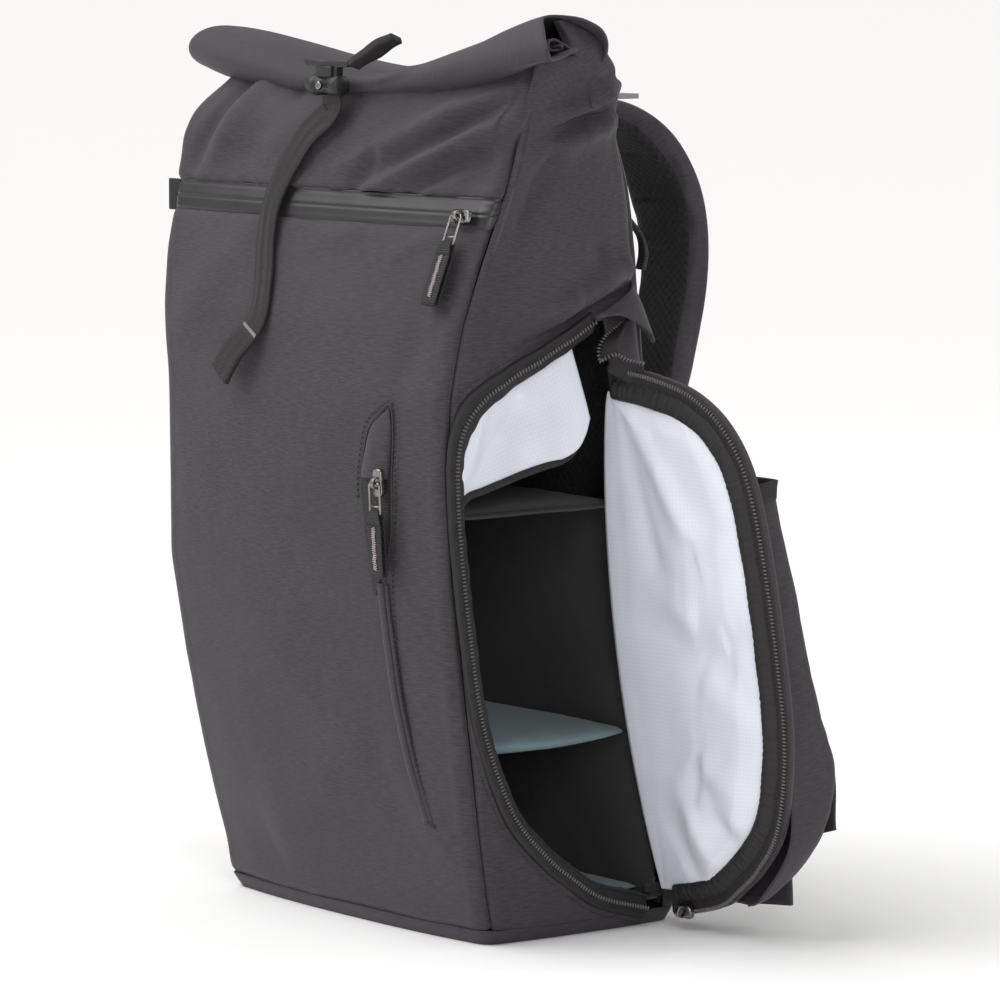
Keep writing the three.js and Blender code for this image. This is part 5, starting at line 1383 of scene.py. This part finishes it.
# Camera insert.
# A padded box of brushed cloth over foam fills the lower half of the bag. It opens
# towards the door, and a blue grey shelf and floor pad are held in it by touch tape.
def brushed_material(name, dark, light, sheen):
    recipe = Recipe(name)
    place = recipe.node("ShaderNodeTexCoord")
    nap = recipe.node("ShaderNodeTexNoise", None, Vector=place.outputs["Object"], Scale=1400.0, Detail=4.0)
    hand = recipe.node("ShaderNodeTexNoise", None, Vector=place.outputs["Object"], Scale=28.0, Detail=3.0)
    shade = recipe.maths("MULTIPLY_ADD", nap.outputs[0], 0.55, recipe.maths("MULTIPLY", hand.outputs[0], 0.45))
    color = recipe.blend(recipe.spread(shade, 0.3, 0.7), (*dark, 1), (*light, 1))
    return recipe.surface(color, recipe.spread(hand.outputs[0], 0.3, 0.7, 0.82, 0.95), nap.outputs[0], 0.5, 0.0004,
                          Sheen_Weight=sheen, Sheen_Roughness=0.6)


black_nap = brushed_material("brushed_black", (0.0035, 0.0036, 0.0042), (0.013, 0.013, 0.015), 0.1)
blue_nap = brushed_material("brushed_blue_grey", (0.075, 0.125, 0.145), (0.145, 0.215, 0.235), 0.15)

insert_low, insert_high, insert_wall, wall_gap = 12.0, 256.0, 6.0, 3.6
insert_stops = [("corner", 3, 0.0, 0.99, 5), ("face", 0, 0.0, 1.0, 60), ("corner", 0, 0.01, 0.99, 6),
                ("face", 1, 0.0, 1.0, 70), ("corner", 1, 0.01, 0.99, 6), ("face", 2, 0.0, 1.0, 60),
                ("corner", 2, 0.01, 0.99, 6), ("face", 3, 0.0, 0.99, 40)]


def insert_ring(heights, inset):
    """The inside of the bag at heights, kept clear of its padded back."""
    grid = outline_grid(heights, insert_stops, -inset)
    back = limits(heights)[4][:, None] - back_padding + cloth_thick - inset
    grid[..., 1] = np.minimum(grid[..., 1], back + 0.0)
    return grid


insert_heights = np.linspace(insert_low + 4, insert_high - 4, 60)
inner_grid = insert_ring(insert_heights, wall_gap + 1.0)
soft = ripple(inner_grid, 45, 0.8, (1, 1, 1), 101.0)
inner_grid = inner_grid - normals_of(inner_grid) * (0.6 + abs(soft))[..., None]
insert = surface("camera_insert", inner_grid, black_nap, thick=insert_wall - 0.6, wrap=True)
cut_hole(insert, opening_loop(-7), 1, 2, beyond=60.0)
cut_hole(insert, opening_loop(-7, 24.0), 1, 2, beyond=126.0)
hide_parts("insert_box")


def pad_layer(name, low, high, inset, reach, material, slump=0.0, crown=1.2):
    """A flat pad that fills the insert from wall to wall, with soft rounded edges."""
    middle = (low + high) / 2
    left, right, _, _, back = (float(v) for v in limits(middle))
    x_low, x_high = left + inset, reach
    rows, turns = 64, 26
    section = pad_section(turns, 0.42)
    grid = np.zeros((rows, turns, 3))
    for k, x in enumerate(np.linspace(x_low, x_high, rows)):
        front = front_y(x, middle) + inset
        rear = back - back_padding + cloth_thick - inset + 0.5
        ease = min(1.0, ((k + 0.35) / 2.5)) ** 0.5 * min(1.0, ((rows - k - 0.65) / 2.5)) ** 0.5
        drop = -slump * math.exp(-((x - x_high) / 46) ** 2)
        for j, (u, v) in enumerate(section):
            y = (front + rear) / 2 + (rear - front) / 2 * u * (0.97 + 0.03 * ease)
            swell = 1 + 0.12 * crown * (1 - u * u)
            z = middle + (high - low) / 2 * v * ease * swell + drop * (1 - 0.8 * u * u)
            grid[k, j] = (x, y, z)
    lift = ripple(grid, 34, 0.5, (1, 1, 1), 7.0 + low)
    grid[..., 2] += lift
    pad = surface(name, grid[:, ::-1], material, wrap=True, ends=True)
    return pad


shelf = pad_layer("insert_shelf_pad", 112, 120, 11.2, 115.5, blue_nap, slump=3.0)
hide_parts("insert_shelf")
floor_pad = pad_layer("insert_floor_layer", 18.3, 23.3, 11.2, 115.5, blue_nap, crown=0.6)
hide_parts("insert_floor_pad")
for name, low, high in (("insert_floor", 12.6, 17.8), ("insert_lid", 250.2, 255.4)):
    board = pad_layer(name, low, high, 5.0, 128.0, black_nap, crown=0.3)


# Side door.
# The door is the bag's own side, hinged along its rear edge and laid open. Its inside
# is white ripstop held by a gathered dark binding, with half of the zip at its edge.
door_origin = (pack_width / 2 + 1.5, hinge_foot - hinge_lean * door_foot, door_foot)
door_turn = math.atan(hinge_lean)


def on_door(x, off, up):
    return turned(np.stack(np.broadcast_arrays(x, off, up), -1), door_origin, door_turn)


door_spine = spline([(out * door_reach, up * door_height) for up, out in door_rows], 360)
door_run = np.gradient(door_spine, axis=0)
door_run /= np.linalg.norm(door_run, axis=1, keepdims=True)


def door_inset(inset):
    """Places along the door's free edge, moved in by inset, from its foot to its top."""
    inset = np.broadcast_to(inset, len(door_spine))[:, None]
    return door_spine + np.column_stack([-door_run[:, 1], door_run[:, 0]]) * inset


def door_sheet(inset, hinge, columns):
    """Rows of places over the door, from the hinge to its inset edge."""
    edge = door_edge(door_reach, inset)
    edge = edge[edge[:, 0] > hinge + 1]
    share = np.linspace(0, 1, columns)[None]
    return hinge + (edge[:, :1] - hinge) * share, np.repeat(edge[:, 1:], columns, 1), share


x, up, share = door_sheet(0.0, 0.0, 44)
panel_grid = on_door(x, 4.0 + 0 * x, up)[:, ::-1]
door_panel = surface("door_cloth", panel_grid, pack_cloth, thick=3.9)
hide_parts("door_panel")

x, up, share = door_sheet(15.5, 0.6, 70)
share = np.repeat(share, len(x), 0)
level = up / door_height
seam_away = np.minimum(np.minimum(share * 1.2, (1 - share) * 2.4) * 40, np.minimum(up - 12, 319 - up) * 0.8)
plump = np.clip((seam_away - 4) / 16, 0, 1) ** 0.7
flat_grid = np.stack([x, np.zeros_like(x), up], -1)
folds = ripple(flat_grid, 70, 3.2, (1, 1, 0.7), 120.0, 2) + ripple(flat_grid, 24, 0.7, (1, 1, 0.6), 130.0, 2)
for start, end, depth, width, tail in (
        ((6, 326), (66, 236), 3.6, 9, 0.3), ((10, 318), (30, 212), -2.6, 7, 0.3), ((20, 318), (100, 288), -2.2, 7, 0.3),
        ((30, 305), (90, 296), 2.4, 8, 0.3), ((2, 206), (60, 186), 2.4, 12, 0.2), ((2, 180), (90, 160), -2.4, 14, 0.2),
        ((118, 120), (60, 150), 2.0, 12, 0.3), ((112, 70), (50, 96), 2.6, 12, 0.3), ((84, 40), (40, 96), -3.0, 9, 0.3),
        ((100, 56), (46, 80), 2.4, 7, 0.3), ((64, 24), (22, 84), 3.0, 8, 0.3), ((40, 20), (8, 70), -2.8, 7, 0.3),
        ((120, 240), (70, 222), 1.8, 9, 0.3), ((124, 180), (84, 176), -1.8, 8, 0.3)):
    folds = folds + ridge(x, up, start, end, depth, width, tail=tail)
puff = (3.4 + folds) * plump
hinge_bulge = np.sin(np.clip(level * 1.05, 0, 1) * math.pi) ** 0.7 * np.exp(-(share / 0.16) ** 2)
off = -2.1 - puff - 5.5 * hinge_bulge
x = x - 15.0 * hinge_bulge * (1 - share) ** 2
lining = surface("door_white_lining", on_door(x, off, up), ripstop, thick=0.6)
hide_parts("door_lining")

edge_run = np.linspace(0, 1, 360)
pucker = (np.sin(edge_run * 640) + 0.6 * np.sin(edge_run * 391 + 1.0)) * (0.5 + 0.5 * np.sin(edge_run * 47) ** 2)
binding_columns = []
for inset, off, gather in ((19.5, 3.2, 0.2), (18.4, 4.6, 0.4), (16.4, 5.2, 0.9), (14.2, 5.2, 1.0), (12.0, 4.6, 1.0),
                           (10.0, 3.6, 0.9), (8.4, 2.6, 0.5), (7.4, 1.6, 0.2)):
    wander = 0.6 * np.sin(edge_run * 83 + inset)
    places = door_inset(inset + wander * gather)
    binding_columns.append(on_door(np.maximum(places[:, 0], 0.2), -off - 0.55 * gather * pucker, places[:, 1]))
binding = surface("door_gathered_binding", np.stack(binding_columns, 1), binding_cloth, thick=0.8)
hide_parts("door_binding")

door_tape_columns = []
for inset, off in ((8.6, 2.2), (7.4, 2.1), (5.0, 2.0), (3.2, 1.9), (1.4, 1.8), (0.4, 1.2), (0.0, 0.2), (0.3, -2.0),
                   (1.6, -4.2)):
    places = door_inset(inset)
    door_tape_columns.append(on_door(np.maximum(places[:, 0], 0.2), -off + 0.12 * pucker, places[:, 1]))
door_tape = surface("door_zip_band", np.stack(door_tape_columns, 1), binding_cloth, thick=0.5)
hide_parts("door_zip_tape")
coil_places = door_inset(1.6)
door_facing = turned([(0, -1, 0)], (0, 0, 0), door_turn)[0]
row_along("door_coil", [on_door(np.maximum(coil_places[:, 0], 0.2), -2.6, coil_places[:, 1])], [door_facing], 2.2,
          (1.25, 3.2, 1.9), coil)
seam_places = door_inset(6.4)
row_along("door_binding_stitches", [on_door(np.maximum(seam_places[:, 0], 0.2), -2.5, seam_places[:, 1])],
          [door_facing], 3.2, (2.2, 0.55, 0.45), dark_thread)

slider_seat = on_door(17.0, -2.9, 4.5)
slider("door_slider_body", "door_zip_slider", slider_seat, door_turn, True)

# The bottle pocket on the door's outer face is a pouch with an elastic hem.
pocket_depths = np.array([
    # up, from, to, near depth, far depth
    (0.045, 0.16, 0.52, 0.012, 0.014), (0.07, 0.12, 0.62, 0.08, 0.1), (0.2, 0.09, 0.86, 0.12, 0.19),
    (0.35, 0.08, 0.92, 0.15, 0.28), (0.5, 0.08, 0.93, 0.15, 0.22), (0.75, 0.08, 0.93, 0.12, 0.16),
    (1, 0.08, 0.9, 0.11, 0.13),
])
pouch_top = 264.0
pouch_rows = spline(pocket_depths, 70, even=False)
pouch_grid = []
for up, start, end, near, far in pouch_rows:
    start, end, near, far = (v * door_reach for v in (start, end, near, far))
    height = up * pouch_top
    base = 4.3
    ring = spline([(end, base, height), (end + 0.4, base + far * 0.75, height), (end - 6, base + far, height),
                   ((start + end) / 2, base + (near + far) / 2 * 1.02, height), (start + 8, base + near, height),
                   (start, base + near * 0.6, height), (start, base, height)], 52)
    pouch_grid.append(on_door(ring[:, 0], ring[:, 1], ring[:, 2]))
pouch_grid = np.array(pouch_grid)
pouch_lift = ripple(pouch_grid, 52, 1.6, (1, 1, 0.7), 140.0)
pouch_lift *= np.sin(np.linspace(0, math.pi, 52))[None] ** 0.4
pouch = surface("door_bottle_pocket", pouch_grid + normals_of(pouch_grid) * pouch_lift[..., None], pack_cloth,
                thick=1.3)
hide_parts("door_pocket")
hem_row = pouch_grid[-1]
hem = surface("pocket_elastic_hem", swept(hem_row, [11] * 52, [2.4] * 52, band_section, (0, 0.15, 1), 104), binding_cloth,
              wrap=True, ends=True)

# The end of the zip curls over from the bag to the door at the top of the hinge.
curl_path = [(172, 7.4, 333.5), (164, 5.4, 334.5), (157, 2.8, 336.5), (151.5, 0.4, 340.5), (148.6, 0.6, 346),
             (147.6, 4.5, 352), (146.6, 10.5, 358), (145.0, 18, 364)]
curl_grid = swept(curl_path, [13, 13, 12.5, 12, 11, 10, 10, 9], [1.5] * 8, band_section,
                  [(0.1, 0.15, -1)] * 3 + [(0.5, 0.2, -0.8), (0.8, 0.4, -0.5), (0.6, 0.6, 0.2), (0.6, 0.5, 0.6), (0.5, 0.3, 0.8)], 70)
curl = surface("zip_end_curl", curl_grid, binding_cloth, wrap=True, ends=True)
curl_ends = [np.linalg.norm(curl_grid[0] - np.array((172, 7.4, height)), axis=1).argmin() for height in (340.0, 327.0)]
row_along("zip_end_coil", [curl_grid[:, curl_ends[0]] + np.array((0.2, -0.8, 0.2))], [(0.5, -0.8, 0.3)], 2.2,
          (1.25, 2.8, 1.7), coil)

# Above the hinge the side cloth laps over the zip's end in one loose fold.
lap_columns = [
    # crease, rim and tucked edge, each x, y and height
    ((148.6, -9, 366.0), (149.2, -9, 364.6), (146.5, -9, 365.5)),
    ((147.6, 3, 371.5), (152.4, 4, 366.4), (147.5, 4.5, 369)),
    ((146.0, 14, 377.0), (155.6, 15, 362.0), (148, 15.5, 365)),
    ((143.0, 22, 381.0), (156.4, 24, 356.0), (147, 25, 359)),
    ((138.0, 27, 384.0), (153.0, 31, 350.5), (144.5, 31.5, 354)),
    ((132.0, 30, 386.0), (145.6, 36, 348.5), (140.5, 36, 352)),
]
lap_rows = []
for crease, rim, tucked in lap_columns:
    crease, rim, tucked = (np.array(place, float) for place in (crease, rim, tucked))
    bulge = np.array((1.6, 0, 0))
    lap_rows.append(spline([crease, crease * 0.6 + rim * 0.4 + bulge, rim + np.array((0, 0, 2.0)), rim, tucked], 26))
lap_rows = np.array(lap_rows)
lap_grid = np.stack([spline(lap_rows[:, k], 48, even=False) for k in range(26)], 1)
lap_lift = ripple(lap_grid, 22, 0.9, (1, 1, 1), 161.0) * np.linspace(0, 1, 26)[None] ** 0.5
lap = surface("hinge_lap_cloth", lap_grid + normals_of(lap_grid) * lap_lift[..., None], pack_cloth, thick=1.2)


# Strap webbing and small parts of the harness.
# Moulded adjusters carry the webbing from the padded straps down to cloth wings sewn
# in at the foot, and narrow webbing ties each strap to a plate near the bag's top.
for side, name in ((1, "right"), (-1, "left")):
    end = np.array((side * 0.68 * pack_width / 2, 0.545 * pack_depth, 0.485 * pack_height))
    for node, finish_of in ((f"ladder_lock_{name}", moulded), (f"lifter_plate_{name}", pale_moulded)):
        part = bpy.data.objects[node]
        part.data.materials.clear()
        part.data.materials.append(finish_of)
    low = end[2] - 29
    tip = np.array((side * 1.46 * pack_width / 2, 0.65 * pack_depth, 0.09 * pack_height))
    behind = tip[1] + 1.5 + 1.8
    webbing_rows = [(end[0] + side * 2, end[1], low - 3), (end[0] + side * 14, end[1] + 4, low - 45),
                    (tip[0] - side * 45, behind + 2, tip[2] + 65), (tip[0] - side * 12, behind, tip[2] + 4)]
    grid = swept(webbing_rows, [19.5] * 4, [1.7] * 4, band_section, (0.9, 0, 0.45 * side), 90)
    band = surface(f"adjuster_webbing_{name}", grid, webbing, wrap=True, ends=True)
    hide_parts(f"strap_webbing_{name}")
    tail_rows = [(end[0] + side * 2, end[1] + 4.6, low + 5), (end[0] + side * 50, end[1] + 24, low - 70),
                 (tip[0] + side * 2, behind + 13, tip[2] + 58), (tip[0] + side * 16, behind + 8, tip[2] + 12)]
    grid = swept(tail_rows, [19.5] * 4, [1.8, 1.8, 2.6, 3.0], band_section, (1, 0, 0.3 * side), 90)
    band = surface(f"webbing_tail_{name}", grid, webbing, wrap=True, ends=True)
    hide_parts(f"strap_tail_{name}")
    wing_path = np.array([(0.82, 0.494, 0.02, 0.15), (0.98, 0.53, 0.022, 0.15), (1.22, 0.62, 0.025, 0.15),
                          (1.46, 0.65, 0.03, 0.15)])
    wing_line = spline(wing_path, 40, even=False)
    wing_up = np.linspace(0, 1, 24)
    wing_grid = np.array([[(side * a * pack_width / 2, b * pack_depth - 1.3, (lo + (hi - lo) * s) * pack_height)
                           for a, b, lo, hi in wing_line] for s in wing_up])
    if side < 0:
        wing_grid = wing_grid[:, ::-1]
    wing_lift = ripple(wing_grid, 40, 1.2, (1, 1, 1), 150.0 + side)
    wing = surface(f"webbing_wing_{name}", wing_grid + normals_of(wing_grid) * wing_lift[..., None], pack_cloth,
                   thick=2.6)
    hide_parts(f"lower_wing_{name}")
    hem_path = wing_grid[0][::4] + np.array((0, 0, 3.0))
    plate_at = np.array((side * (0.46 * pack_width / 2 + 8), 0.36 * pack_depth + 14, 0.886 * pack_height + 5.35))
    lift_rows = [(plate_at[0], plate_at[1] - 9.6, plate_at[2] + 1.5), (plate_at[0], 0.36 * pack_depth - 14, plate_at[2] + 1),
                 (plate_at[0], float(limits(0.886 * pack_height + 4)[4]) + 0.6, 0.886 * pack_height + 4)]
    grid = swept(lift_rows, [13.5] * 3, [1.7] * 3, band_section, (1, 0, 0), 40)
    band = surface(f"load_lifter_webbing_{name}", grid, webbing, wrap=True, ends=True)
    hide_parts(f"load_lifter_{name}")

tag_high = 0.772 * pack_height
tag_x, tag_back = 0.94 * pack_width / 2, float(limits(tag_high)[4]) + 0.9
tag_rows = [(tag_x, tag_back, tag_high), (tag_x + 1, tag_back + 8, tag_high - 10), (tag_x + 2, tag_back + 10, tag_high - 20),
            (tag_x + 2, tag_back + 8, tag_high - 30)]
grid = swept(tag_rows, [5, 5, 7, 7], [1.8, 1.8, 2.5, 2.5], band_section, (1, 0, 0), 50)
back_tag = surface("back_ribbed_tag", grid, ribbon, wrap=True, ends=True)
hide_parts("back_pull_tag")
